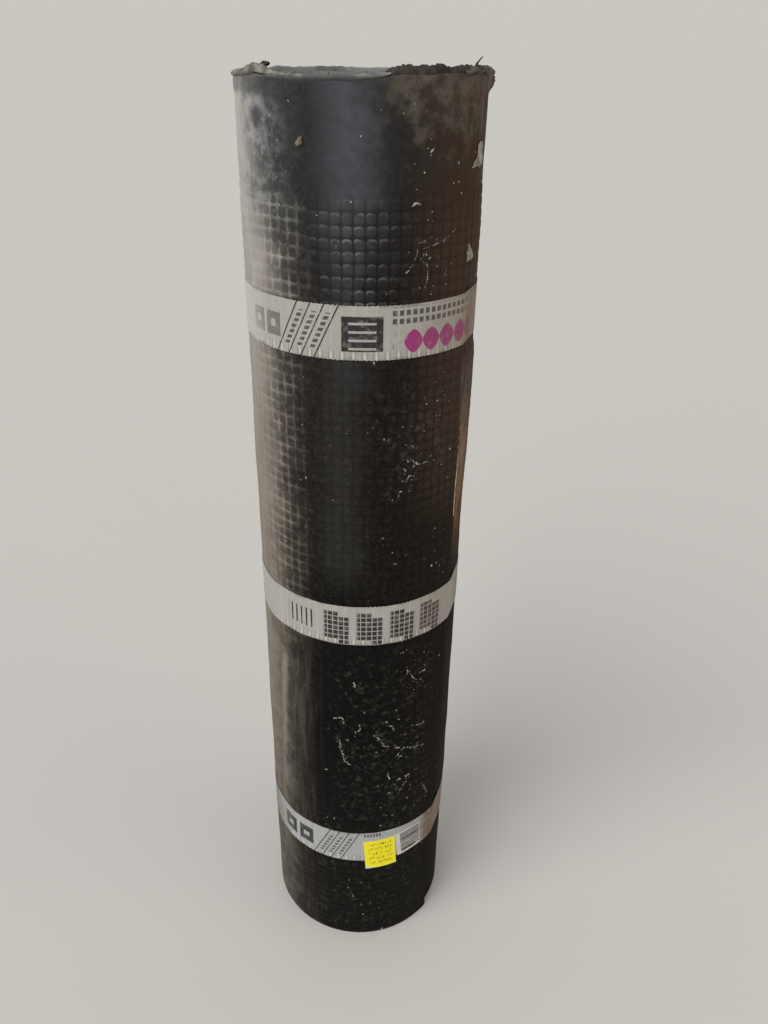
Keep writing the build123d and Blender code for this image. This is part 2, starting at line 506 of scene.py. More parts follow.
class Shade:
    """The node tree of a material or of the world."""

    def __init__(self, owner):
        self.owner = owner
        self.owner.use_nodes = True
        self.tree = self.owner.node_tree
        self.tree.nodes.clear()

    def node(self, kind, settings=None, inputs=None):
        """A node of a type, with its settings made first and its inputs filled or linked."""
        made = self.tree.nodes.new(kind)
        for name, setting in (settings or {}).items():
            if name == "stops":
                ramp = made.color_ramp.elements
                while len(ramp) < len(setting):
                    ramp.new(0.5)
                for element, (position, colour) in zip(ramp, setting):
                    element.position = position
                    element.color = colour
            else:
                setattr(made, name, setting)
        for name, given in (inputs or {}).items():
            if isinstance(given, Value):
                self.tree.links.new(given.socket, made.inputs[name])
            else:
                made.inputs[name].default_value = given
        return made

    def read(self, kind, settings=None, inputs=None, output=0):
        """One output of a new node."""
        return Value(self, self.node(kind, settings, inputs).outputs[output])

    def maths(self, operation, *values):
        """A Math node on values and numbers."""
        return self.read("ShaderNodeMath", {"operation": operation}, dict(enumerate(values)))

    def split(self, vector):
        """The three parts of a vector."""
        parts = self.node("ShaderNodeSeparateXYZ", None, {"Vector": vector})
        return [Value(self, socket) for socket in parts.outputs]

    def join(self, x, y, z):
        """A vector of three values."""
        return self.read("ShaderNodeCombineXYZ", None, {"X": x, "Y": y, "Z": z})

    def place(self):
        """The point in the object's own coordinates."""
        return self.read("ShaderNodeTexCoord", output="Object")

    def layout(self):
        """The point's layout: on the felt, its place along the flat sheet and up it, in metres."""
        return self.read("ShaderNodeUVMap", {"uv_map": "sheet"})

    def noise(self, vector, size, detail=2.0, roughness=0.5, shift=0.0):
        """Soft noise from 0 to 1, with lumps of a size in metres. A shift gives a different field."""
        moved = self.read("ShaderNodeVectorMath", {"operation": "ADD"}, {0: vector, 1: (shift, shift, shift)})
        inputs = {"Vector": moved, "Scale": 1 / size, "Detail": detail, "Roughness": roughness}
        return self.read("ShaderNodeTexNoise", None, inputs)

    def ramp(self, value, *stops):
        """A colour that changes along a value, from stops of a position and a hexadecimal colour."""
        settings = {"stops": [(position, paint(code)) for position, code in stops]}
        return self.read("ShaderNodeValToRGB", settings, {"Fac": value})

    def blend(self, share, under, over):
        """The colour under, covered by the colour over in a share. Either can be a hexadecimal code."""
        colours = [paint(colour) if isinstance(colour, str) else colour for colour in (under, over)]
        inputs = {0: share, 6: colours[0], 7: colours[1]}
        return self.read("ShaderNodeMix", {"data_type": "RGBA"}, inputs, output=2)

    def bump(self, height, distance, strength):
        """The normal of a relief with a height from 0 to 1 over a distance in metres."""
        inputs = {"Height": height, "Distance": distance, "Strength": strength}
        return self.read("ShaderNodeBump", None, inputs)

    def finish(self, colour, roughness, normal=None, specular=0.5):
        """Ends in a Principled surface, and returns the material."""
        inputs = {"Base Color": colour, "Roughness": roughness, "Specular IOR Level": specular}
        if normal is not None:
            inputs["Normal"] = normal
        surface = self.read("ShaderNodeBsdfPrincipled", None, inputs)
        self.node("ShaderNodeOutputMaterial", None, {"Surface": surface})
        return self.owner


def new_shade(name):
    """The empty node tree of a new material."""
    return Shade(bpy.data.materials.new(name))


def stripes(place, pitch, width):
    """1 over a width at the start of each pitch, and 0 over the rest of it, with soft edges."""
    share = width / pitch
    return (place / pitch).part().between(share * 0.12, share * 0.88, share * 0.12)


def colour_property(name, description, code):
    """A colour that a user can change, from its hexadecimal code."""
    return FloatVectorProperty(
        name=name, description=description, default=paint(code), subtype="COLOR", size=4, min=0, max=1
    )


def length_property(name, description, default):
    """A length that a user can change, in metres."""
    return FloatProperty(
        name=name, description=description, default=default, min=0, unit="LENGTH", precision=4
    )


def angle_property(name, description, default):
    """An angle that a user can change, from a default in degrees."""
    return FloatProperty(name=name, description=description, default=radians(default), subtype="ANGLE")


def strength_property(name, description, default):
    """A light's strength that a user can change."""
    return FloatProperty(name=name, description=description, default=default, min=0)


class FeltSheet(bpy.types.PropertyGroup):
    """Sizes of the felt sheet, and the colours of its film, its dust and its cut edges"""
    thickness: length_property("Thickness", "The sheet with its nubs", 0.00448)
    nub_height: length_property("Nub Height", "How far a nub stands out of the grooves", 0.00105)
    nub_pitch_round: length_property("Nub Pitch Round", "From nub to nub round the roll", 0.00993)
    nub_pitch_up: length_property("Nub Pitch Up", "From nub to nub up the roll", 0.0104)
    # The colour of the painted blue-grey sheen on the film towards the head
    painted_sheen: colour_property("Bloom", "The blue-grey bloom on the film", "56575E")
    dust: colour_property("Dust", "Dry dust on the film", "9C958B")
    grime: colour_property("Grime", "Brown dust near the head, at the right", "60584F")
    edge: colour_property("Edge", "The cut edges of the turns", "2A2724")


class WrapBands(bpy.types.PropertyGroup):
    """Sizes of the three wraps, and the colours of their paper, print, and stain and painted warm light"""
    thickness: length_property("Thickness", "Thickness of the wrap", 0.0004)
    crease: length_property("Crease", "How far the wrap sinks between two nubs", 0.0004)
    paper: colour_property("Paper", "The pale wrap", "B3B0A9")
    ink: colour_property("Ink", "The dark print", "2C2A2C")
    accent: colour_property("Accent", "The bright print", "A03379")
    # The wraps' brown at the right: partly stain, partly painted warm light and shade
    stain_and_warm_light: colour_property("Stain", "The wrap's brown stain at the right", "6E5742")


class HeadDirt(bpy.types.PropertyGroup):
    """How high the torn film stands on the head, and how many crumbs lie there"""
    rag_lift: length_property("Rag Lift", "How far the rag at the left stands up", 0.0060)
    flap_lift: length_property("Flap Lift", "How far the flaps at the right stand above the rim", 0.0042)
    crumbs: IntProperty(name="Crumbs", description="Crumbs on the head", default=150, min=1)


class RollStickers(bpy.types.PropertyGroup):
    """The turns and colours of the two stickers"""
    yellow_tilt: angle_property("Yellow Tilt", "Turn of the yellow sticker", 3.5)
    bar_tilt: angle_property("Bar Tilt", "Turn of the bar sticker", 6.0)
    yellow: colour_property("Yellow", "The yellow paper", "FFF11C")
    white: colour_property("White", "The white paper", "DAD8D2")
    ink: colour_property("Ink", "The printed bars", "2B2A2C")


class Stage(bpy.types.PropertyGroup):
    """The floor's colour, the strengths of the lights and the camera's lens"""
    floor: colour_property("Floor", "The pale floor", "DAD8D4")
    key_strength: strength_property("Key Light", "Strength of the soft key light", 1.6)
    fill_strength: strength_property("Fill Light", "Strength of the warm fill light", 0.4)
    daylight: strength_property("Daylight", "Strength of the even light round the roll", 0.55)
    focal_length: FloatProperty(
        name="Focal Length", description="Focal length on a 36 mm sensor", default=30.67, min=1, unit="CAMERA"
    )


def sheet_lengths():
    """The sheet's length along its outer face back from the free end's furthest point, for rising sweeps."""
    sweeps = np.linspace(SHEET_SWEEP - 390, SHEET_SWEEP + max(FREE_END_SHIFTS), 4000)
    radius = sheet_radius(sweeps) + bpy.context.scene.felt_sheet.thickness
    steps = np.radians(np.diff(sweeps)) * (radius[1:] + radius[:-1]) / 2
    run = np.concatenate([[0], np.cumsum(steps)])
    return sweeps, run[-1] - run


def length_at(sweep):
    """The length back from the free end at a sweep."""
    return np.interp(sweep, *sheet_lengths())


def sweep_at(length):
    """The sweep at a length back from the free end."""
    sweeps, lengths = sheet_lengths()
    return np.interp(length, lengths[::-1], sweeps[::-1])


def nub_dome(round_place, up_place):
    """A nub's height from 0 to 1: the root of 1 less the fourth powers of the places across it."""
    across = np.abs(2 * (round_place % 1) - 1)
    along = np.abs(2 * (up_place % 1) - 1)
    return np.sqrt(np.clip(1 - across ** 4 - along ** 4, 0, 1))


def nub_rows(first, last):
    """Heights of the grid lines from one row of nubs up to another, from the lowest."""
    pitch = bpy.context.scene.felt_sheet.nub_pitch_up
    numbers = np.arange(first, last)[:, None] + np.array(NUB_STEPS)[None, :]
    heights = SELVEDGE_FOOT - pitch * np.append(numbers.ravel(), last)
    return heights[::-1]


def outer_depth(length, height):
    """The outer face's height above the inner face: grooves and nubs, and the smooth selvedge above them.

    Dirt fills the grooves by half near the foot, and more at the dusty left. The wraps press the sheet in.
    """
    sheet = bpy.context.scene.felt_sheet
    nubs = nub_dome(length / sheet.nub_pitch_round, (SELVEDGE_FOOT - height) / sheet.nub_pitch_up)
    nubs = nubs * (0.86 + 0.14 * waves(5, 0.09, length, height))
    dusty = 0.7 * beside(INNER_END_BEARING + sweep_at(length), -100, -64, 14) * (1 - ease(0.70, 0.84, height))
    filled = np.maximum(0.5 * (1 - ease(0.35, 0.75, height)), dusty)
    smooth = ease(SELVEDGE_FOOT - 0.001, SELVEDGE_FOOT + 0.004, height)
    relief = (nubs + filled * (1 - nubs)) * (1 - smooth) + SELVEDGE_SHARE * smooth
    pressed = 0
    for node in BANDS:
        low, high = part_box(node)
        inside = ease(low.z, low.z + 0.003, height) * (1 - ease(high.z - 0.003, high.z, height))
        pressed = pressed + inside
    return sheet.thickness - sheet.nub_height * (1 - relief) - PRESSED_DEPTH * pressed


def crest(sweep):
    """How far a turn's edge stays below the roll's full height, which differs from turn to turn."""
    return 0.0006 + 0.0005 * (1 + waves(11, 260.0, sweep)) + 0.0002 * (1 + waves(12, 30.0, sweep))


def outer_profile(rows, foot, head):
    """Heights and shares of the thickness along one column: up the outer rows, then down the inner ones.

    The column's end is rounded where it is the roll's foot or head. Inside there is one row for each nub.
    """
    inner_rows = np.unique(np.append(np.arange(0, rows.size, len(NUB_STEPS)), rows.size - 1))
    inside = rows[inner_rows][::-1]
    share = np.ones(rows.size)
    if foot:
        rows = np.concatenate([EDGE_INSETS, rows])
        share = np.concatenate([EDGE_SHARES[::-1], share])
    if head:
        rows = np.concatenate([rows, SHEET_WIDTH - EDGE_INSETS])
        share = np.concatenate([share, EDGE_SHARES])
    height = np.concatenate([rows, inside])[None, :]
    share = np.concatenate([share, np.zeros(inside.size)])[None, :]
    return rows, inside, height, share


def outer_columns(height):
    """Each column's length back from the free end's furthest point, and how far back the end is at a height.

    The columns follow the nubs, and the ones near the free end close up to follow its line.
    """
    steps = (np.arange(OUTER_NUBS)[:, None] + np.array(NUB_STEPS)).ravel()
    nominal = bpy.context.scene.felt_sheet.nub_pitch_round * np.append(steps, OUTER_NUBS)[::-1, None]
    cut_back = np.radians(max(FREE_END_SHIFTS) - free_end_shift(height)) * ROLL_RADIUS
    kept = np.minimum(nominal / CLOSED_UP, 1)
    return nominal + cut_back * (1 - kept), cut_back


def outer_section(name, rows, material, foot=False, head=False):
    """One height of the outermost turn, as a closed strip of sheet with nubs outside and a plain inside.

    Each column runs up the outer face, over the top edge and down the inner face. A point's place is its
    length back from the free end, its share of the thickness and its height.
    """
    rows, inside, height, share = outer_profile(rows, foot, head)
    length, cut_back = outer_columns(height)
    sweep = sweep_at(length)
    bearing = INNER_END_BEARING + sweep
    lift = END_LIFT * (1 + waves(8, 0.12, height)) * (1 - ease(0.0, 0.02, length - cut_back))
    fade = ease(0.0, 0.03, height) * (1 - ease(0.95, 0.99, height))
    wobble = NUB_WOBBLE * fade * waves(6, 0.07, length, height)
    depth = share * outer_depth(length, height) + lift + sway(bearing, height)
    level = height + wobble - ease(0.93, 1.0, height) * crest(sweep)
    level = level + ease(0.97, 1.0, height) * rim_rise(bearing)
    points = on_sheet(sweep + np.degrees(wobble / ROLL_RADIUS), depth, level)
    columns, count = points.shape[:2]
    layout = np.stack(np.broadcast_arrays(length, height), -1)
    faces = [grid_faces(columns, count, round_rows=True)] + end_caps(columns, count, rows, inside)
    piece = new_piece(name, points.reshape(-1, 3), faces, material, layout.reshape(-1, 2))
    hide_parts("felt_roll")
    return piece


def end_caps(columns, count, rows, inside):
    """The faces that close a strip's first and last column, between its many outer and fewer inner rows."""
    rising = inside[::-1]
    nearest = np.searchsorted((rising[1:] + rising[:-1]) / 2, rows)
    inner = count - 1 - nearest
    outer = np.arange(rows.size)
    same = inner[1:] == inner[:-1]
    triangles = np.stack([outer[:-1], outer[1:], inner[:-1]], -1)[same]
    squares = np.stack([outer[:-1], outer[1:], inner[1:], inner[:-1]], -1)[~same]
    last = (columns - 1) * count
    return [triangles, squares, triangles[:, ::-1] + last, squares[:, ::-1] + last]


def inner_turns(material):
    """The sheet's other turns, as one closed strip along the spiral from the bore to the outermost turn.

    Each column runs over the sheet's rounded foot, up its outer face, over its rounded head and down inside.
    """
    sheet = bpy.context.scene.felt_sheet
    joint = sweep_at(OUTER_NUBS * sheet.nub_pitch_round)
    sweep = np.linspace(0, joint, round(joint / TURN_STEP))[:, None]
    face = np.array([EDGE_DEPTH, SHEET_WIDTH - EDGE_DEPTH])
    height = np.concatenate([EDGE_INSETS, face, SHEET_WIDTH - EDGE_INSETS, face[::-1]])[None, :]
    share = np.concatenate([EDGE_SHARES[::-1], [1, 1], EDGE_SHARES, [0, 0]])[None, :]
    thickness = sheet.thickness - TURN_SLACK - TURN_UNEVEN * (1 + waves(13, 9.0, sweep))
    level = height - ease(0.5, 1.0, height) * crest(sweep)
    points = on_sheet(sweep, share * thickness, level)
    columns, count = points.shape[:2]
    cap = np.arange(count)[None, :]
    faces = [grid_faces(columns, count, round_rows=True), cap, cap[:, ::-1] + (columns - 1) * count]
    piece = new_piece("felt_inner_turns", points.reshape(-1, 3), faces, material)
    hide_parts("felt_roll")
    return piece


class FilmFields:
    """The places and soft random fields that the layers of the felt's film share.

    left goes from -1 at the right side to 1 at the left, and drift is the same with ragged edges. front is 1
    on the side with the stickers, brown is 1 at the right, and high is 1 towards the head. rounded grows from
    0 at a nub's middle to 2 at its corners, groove is 1 between the nubs, and smooth is 1 on the selvedge.
    core is 1 where the dust at the left lies thick, and less just below the rim, where a painted shadow
    falls. narrowed is how much narrower the thick dust is below.
    """

    def __init__(self, shade):
        sheet = bpy.context.scene.felt_sheet
        self.place = shade.place()
        self.x, self.y, self.height = shade.split(self.place)
        self.length, self.level, _ = shade.split(shade.layout())
        self.clouds = shade.noise(self.place, 0.032, 4)
        self.smears = shade.noise(self.place, 0.013, 4, 0.6, shift=3.0)
        self.grit = shade.noise(self.place, 0.004, 3, shift=5.0)

        self.left = (0 - self.x) / ROLL_RADIUS
        self.drift = self.left + 0.24 * (self.clouds - 0.5) + 0.12 * (self.smears - 0.5)
        self.front = ((0 - self.y) / ROLL_RADIUS).rise(0.1, 0.5)
        self.brown = (0 - self.drift).rise(0.18, 0.82)
        self.high = self.height.rise(0.86, 0.93)

        self.smooth = self.level.rise(SELVEDGE_FOOT - 0.002, SELVEDGE_FOOT + 0.001)
        round_place = (self.length / sheet.nub_pitch_round + 0.20 * (self.smears - 0.5)).part()
        up_place = (SELVEDGE_FOOT - self.level) / sheet.nub_pitch_up + 0.20 * (self.grit - 0.5)
        self.up_place = up_place.part()
        self.rounded = abs(round_place * 2 - 1) ** 3 + abs(self.up_place * 2 - 1) ** 3
        self.groove = self.rounded.rise(0.10, 1.10) * (1 - self.smooth)

        self.narrowed = 0.04 * self.height.rise(0.82, 0.78) + 0.01 * self.height.rise(0.56, 0.42)
        self.core = (self.drift - 0.10 * self.high - self.narrowed).rise(0.60, 0.92)
        # Less thick dust just below the rim: a painted shadow
        self.core = self.core * (1 - 0.55 * self.height.rise(0.984, 0.992))


def bare_film(shade, at):
    """Black film, mottled, with painted shade in its grooves and a painted blue-grey sheen towards the head.

    Towards the foot it is darker and less mottled, a painted shade, and towards the head lighter, a painted
    sheen. A faint painted sheen lies over the front's middle, and painted highlights on the nubs' upper
    shoulders shine just above the upper wrap, with painted shade in the grooves between them.
    """
    height, drift, front, groove = at.height, at.drift, at.front, at.groove
    # The film's tone by height: darker towards the foot and lighter towards the head, a painted shade and
    # sheen
    film = shade.ramp(
        height, (0.05, "12110F"), (0.35, "0C0B0A"), (0.62, "141110"), (0.83, "1C1917"), (0.97, "292929")
    )
    fine = shade.noise(at.place, 0.0016, 2, 0.6, shift=8.0)
    mottled = at.grit.rise(0.40, 0.80) * 0.22 + fine.rise(0.50, 0.78) * 0.16
    # Fainter mottling low down, which darkens the foot as painted shade
    film = shade.blend(mottled * (0.12 + 0.62 * height.rise(0.35, 0.60)), film, "55504A")
    # A faint painted sheen over the front's middle
    soft_light = drift.bell(0.18, 0.20) * height.between(0.58, 0.80, 0.06) * front
    film = shade.blend(soft_light * 0.14, film, "6A6966")
    # Painted shade in the grooves
    film = shade.blend(groove * 0.18, film, "080707")
    # A painted blue-grey sheen towards the head
    painted_sheen = drift.bell(0.11, 0.20) * height.rise(0.72, 0.97) * front
    painted_sheen = painted_sheen * (0.60 + 0.40 * at.smears.rise(0.2, 0.8))
    film = shade.blend(painted_sheen, film, bpy.context.scene.felt_sheet.painted_sheen)
    # Painted highlights on the nubs' upper shoulders just above the upper wrap, and painted shade in the
    # grooves between them
    sheen = drift.bell(0.04, 0.25) * height.between(0.828, 0.90, 0.020) * front
    film = shade.blend(groove * sheen * 0.55, film, "0D0C0C")
    shoulder = at.rounded.between(0.26, 0.60, 0.22) * at.up_place.rise(0.50, 0.14) * (1 - at.smooth)
    shining = shoulder * sheen * shade.noise(at.place, 0.010, 3, shift=9.0).rise(0.34, 0.70)
    return shade.blend(shining * 0.62, film, "85868C")


def grimy_film(shade, at, film):
    """The film browner at the right, partly grime and partly painted warm reflection, with scuffs below the
    head and a tan strip past the free end, partly dirt at the lap and partly painted warm reflection.
    """
    height, smears = at.height, at.smears
    # Browner towards the right and up the roll: partly grime, partly painted warm reflection
    grime = shade.ramp(
        height, (0.1, "17130F"), (0.45, "18120D"), (0.60, "2A2018"), (0.72, "40332A"), (0.9, "463527")
    )
    film = shade.blend(at.brown * (0.5 + 0.5 * smears), film, grime)
    near_head = (height + 0.10 * (smears - 0.5) + 0.12 * (at.clouds - 0.5)).rise(0.952, 1.006)
    scuffs = (0 - at.drift).rise(-0.04, 0.34) * near_head * at.front
    scuffs = scuffs * (0.30 + 0.66 * smears.rise(0.34, 0.62))
    film = shade.blend(scuffs, film, bpy.context.scene.felt_sheet.grime)
    tops = (1 - at.rounded.rise(0.20, 0.80)) * (1 - at.smooth) * at.brown * height.between(0.64, 0.88, 0.04)
    film = shade.blend(tops * 0.16, film, "5E4E40")
    # The tan strip past the free end: partly dirt at the lap, partly painted warm reflection
    lap = at.length.rise(0.636, 0.684) * height.between(0.545, 0.745, 0.03)
    grain = shade.noise(shade.join(at.x, at.y, height * 0.15), 0.004, 3)
    tan = shade.ramp(
        height, (0.54, "2E221A"), (0.58, "6E4C32"), (0.62, "94704C"), (0.67, "8B745C"), (0.73, "5E554C")
    )
    return shade.blend(lap * (0.40 + 0.60 * grain.rise(0.38, 0.62)), film, tan)


def rubbed_film(shade, at, film):
    """The film with grey rubbed spots, most of all in three patches and faintly over the front."""
    height, drift = at.height, at.drift
    scuffed = drift.between(-0.66, -0.24, 0.14) * height.between(0.655, 0.74, 0.03)
    scuffed = scuffed.most(drift.between(-0.60, 0.20, 0.16) * height.between(0.23, 0.43, 0.05))
    scuffed = scuffed.most(drift.between(-0.55, 0.40, 0.16) * height.between(0.02, 0.20, 0.04) * 0.7)
    scuffed = scuffed.most(at.front * height.rise(0.3, 0.6) * 0.2)
    rubbed = shade.noise(at.place, 0.0060, 4, 0.6, shift=12.0).rise(0.48, 0.74) * at.smears.rise(0.34, 0.62)
    return shade.blend(scuffed * rubbed * 0.36, film, "6B6862")


def film_dust(shade, at):
    """How thick dry dust lies on the film, from 0 to 1.

    It is thick at the left, and settles in the grooves along its fringe. A patchy haze lies under the head.
    The thick dust and the haze are less just below the rim, a painted shadow. Faint streaks run down near
    the foot, the back is dusty in clouds, and a narrow bank of dust crosses the lower left.
    """
    left, height, clouds, smears, grit = at.left, at.height, at.clouds, at.smears, at.grit
    fringe = (at.drift + 0.10 * (grit - 0.5) - at.narrowed).rise(0.34, 0.80)
    settled = at.groove * (0.02 + 0.64 * smears.rise(0.30, 0.64)) * (1 - 0.85 * height.rise(0.56, 0.42))
    settled = settled + 0.12 + 0.14 * grit
    holes = shade.noise(at.place, 0.022, 3, shift=14.0).rise(0.52, 0.62)
    patches = (0.85 * smears + 0.15 * grit).rise(0.38, 0.62) * (1 - 0.75 * holes)
    # Less haze just below the rim: a painted shadow
    shaded = height.rise(0.982, 0.992) * (1 - left.rise(0.84, 0.96))
    haze = (left + 0.10 * (clouds - 0.5)).rise(0.46, 0.88) * at.high
    haze = haze * (0.26 + 0.78 * patches) * (1 - 0.8 * shaded)
    back = (0 - at.y / ROLL_RADIUS).rise(0.15, -0.5) * clouds.rise(0.30, 0.85) * (0.16 + 0.22 * at.groove)
    streaks = shade.noise(shade.join(at.x, at.y, height * 0.08), 0.006, 3, shift=2.0).rise(0.42, 0.66)
    faint = left.rise(0.34, 0.66) * streaks * (1 - height.rise(0.40, 0.52)) * 0.26
    bank = left + 0.36 * (height - 0.33) + 0.05 * (smears - 0.5) + 0.04 * (clouds - 0.5)
    bank = bank.bell(0.80, 0.045) * height.between(0.20, 0.42, 0.03) * (0.60 + 0.60 * grit)
    thick = at.core * (0.84 + 0.16 * grit) * (1 - 0.12 * streaks * (1 - at.high))
    thin = (fringe * settled).most(haze).most(faint).most(back)
    return (thick + (1 - at.core) * thin).most(bank.least(1.0))


def rim_dust(at):
    """Dust on the outer turn's top edge at the left, and on the raised rim's inner face at the far side."""
    top = at.level.rise(SHEET_WIDTH - 0.0016, SHEET_WIDTH - 0.0004) * at.drift.rise(-0.20, 0.10)
    standing = at.height.rise(SHEET_WIDTH - 0.0034, SHEET_WIDTH - 0.0016)
    standing = standing * (at.y / ROLL_RADIUS).rise(0.0, 0.3)
    return (top * 0.5).most(standing * (0.50 + 0.34 * at.clouds.rise(0.38, 0.52)))


def film_material():
    """The felt's black film, finely wrinkled, under grime, rubbed spots and dust that pales up the roll."""
    shade = new_shade("dusty_film")
    at = FilmFields(shade)
    film = rubbed_film(shade, at, grimy_film(shade, at, bare_film(shade, at)))
    dust = film_dust(shade, at).most(rim_dust(at))
    powder = shade.ramp(
        at.height, (0.10, "5C554C"), (0.37, "8C8276"), (0.60, "999085"), (0.74, "ACA49C"), (0.95, "CCC9C2")
    )
    powder = shade.blend(at.smears.rise(0.3, 0.7) * 0.35, powder, bpy.context.scene.felt_sheet.dust)
    powder = shade.blend(at.high * (1 - at.core), powder, "939596")
    roughness = 0.42 + 0.38 * dust + 0.16 * at.brown + 0.12 * at.grit
    wrinkles = shade.bump(shade.noise(at.place, 0.0035, 4, 0.6, shift=5.0), 0.0004, 0.45)
    return shade.finish(shade.blend(dust, film, powder), roughness, wrinkles, specular=0.06)


def edge_material():
    """The cut edges of the turns: dark bitumen with dry dust on what faces up, thicker in drifts."""
    shade = new_shade("turn_edges")
    place = shade.place()
    _, _, height = shade.split(place)
    grit = shade.noise(place, 0.004, 4, 0.6)
    drifts = shade.noise(place, 0.030, 3, shift=2.0)
    dust = height.rise(0.9955, 0.9990) * (0.34 + 0.62 * drifts) * (0.7 + 0.6 * grit)
    powder = shade.blend(shade.noise(place, 0.05, 2, shift=6.0).rise(0.4, 0.6), "8E8B86", "74777A")
    colour = shade.blend(dust.least(1.0), bpy.context.scene.felt_sheet.edge, powder)
    return shade.finish(colour, 0.6 + 0.3 * dust, shade.bump(grit, 0.0006, 0.8), specular=0.3)


def matt_material(name, first, second, lump, depth=0.0003, roughness=0.8, hanging=None):
    """A matt finish whose tone goes between two colours, and whose relief varies, in lumps of a size.

    A third colour takes over towards the end that hangs over the rim.
    """
    shade = new_shade(name)
    place = shade.place()
    lumps = shade.noise(place, lump, 4, 0.6)
    tone = shade.noise(place, lump * 2.5, 3, shift=4.0).rise(0.35, 0.65)
    colour = shade.blend(tone, first, second)
    if hanging is not None:
        _, run, _ = shade.split(shade.layout())
        colour = shade.blend((run + 0.003 * (lumps - 0.5)).rise(-0.0030, 0.0042), colour, hanging)
    return shade.finish(colour, roughness + 0.1 * lumps, shade.bump(lumps, depth, 0.8), specular=0.3)


class FELTROLL_OT_wound_sheet(bpy.types.Operator):
    """Makes the wound sheet: its inner turns, and the outer turn in four heights that meet under the wraps"""
    bl_idname = "felt_roll.wound_sheet"
    bl_label = "Wound Sheet"

    def execute(self, context):
        film = film_material()
        inner_turns(edge_material())
        selvedge = np.linspace(SELVEDGE_FOOT, SHEET_WIDTH - EDGE_DEPTH, SELVEDGE_ROWS)[1:]
        foot = nub_rows(LOWER_NUBS, ALL_NUBS)
        foot = np.append(EDGE_DEPTH, foot[foot > EDGE_DEPTH + 0.001])
        outer_section("felt_head", np.append(nub_rows(0, HEAD_NUBS), selvedge), film, head=True)
        outer_section("felt_upper", nub_rows(HEAD_NUBS, UPPER_NUBS), film)
        outer_section("felt_lower", nub_rows(UPPER_NUBS, LOWER_NUBS), film)
        outer_section("felt_foot", foot, film, foot=True)
        return {"FINISHED"}


def wrap_bridge(bearing, edge, sweep):
    """How far a wrap stands off the sheet past the free end, and where: it runs straight to the sheet there.

    A straight line at a distance d from the axis has the radius d over the cosine of the angle along it.
    """
    past = (bearing - edge) % 360
    under = ROLL_RADIUS - TURN_PITCH
    reach = degrees(np.arccos(under / ROLL_RADIUS))
    bridged = (sweep < SHEET_SWEEP - 300) & (past < reach)
    return np.where(bridged, under / np.cos(np.radians(reach - past)) - under, 0), bridged


def wrap_band(node, name, material):
    """A thin wrap round the outside: a closed ring that bridges the free end's step on a straight line.

    Its outer face sinks between the nubs' columns and rows, by the sixth power of the place across a nub and
    most of all near its two edges, and its edges are a little uneven. A point's place on the flat sheet goes
    with it, so that the creases can be coloured.
    """
    wrap = bpy.context.scene.wrap_bands
    sheet = bpy.context.scene.felt_sheet
    low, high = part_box(node)
    middle = (low.z + high.z) / 2
    edge = FREE_END_BEARING + free_end_shift(middle)
    bearing = np.linspace(edge - 360, edge, WRAP_COLUMNS + 1)[1:, None]
    sweep = exposed_sweep(bearing, middle)
    bridge, bridged = wrap_bridge(bearing, edge, sweep)
    across = np.concatenate([np.linspace(0, 1, WRAP_ROWS), [1, 0]])[None, :]
    face = np.concatenate([np.ones(WRAP_ROWS), [0, 0]])[None, :]
    arc = np.radians(bearing) * ROLL_RADIUS
    ragged = 0.0004 * waves(21, 0.004, arc + middle) + 0.0002 * waves(22, 0.05, arc - middle)
    height = low.z + (high.z - low.z) * across + ragged * (2 * across - 1)
    length = length_at(sweep)
    groove = np.abs(2 * ((length / sheet.nub_pitch_round) % 1) - 1) ** 6
    row = np.abs(2 * (((SELVEDGE_FOOT - height) / sheet.nub_pitch_up) % 1) - 1) ** 6
    hem = 0.35 + 0.65 * ease(0.55, 0.95, np.abs(2 * across - 1))
    crease = (groove * hem + 0.3 * row) * (0.8 + 0.4 * waves(23, 0.02, arc, height))
    depth = sheet.thickness + WRAP_GAP + face * wrap.thickness + bridge
    depth = depth - face * wrap.crease * crease * ~bridged
    points = on_sheet(sweep, depth + sway(bearing, middle), height)
    columns, count = points.shape[:2]
    layout = np.stack(np.broadcast_arrays(length, height), -1).reshape(-1, 2)
    piece = new_piece(name, points.reshape(-1, 3), [grid_faces(columns, count, True, True)], material, layout)
    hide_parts(node)
    return piece


def leaning_lines(x, v, first, last, pitch):
    """Leaning lines with a column of dashes between each two, from a first to a last place on the wrap."""
    lean = x - 0.0115 * v
    lines = stripes(lean - first, pitch, 0.0016)
    dashes = stripes(lean - first - 0.40 * pitch, pitch, 0.42 * pitch) * stripes(v, 0.22, 0.15)
    dashes = dashes * v.between(-0.62, 0.70, 0.02) * 0.85
    return lines.most(dashes) * lean.between(first, last, PRINT_SOFT)


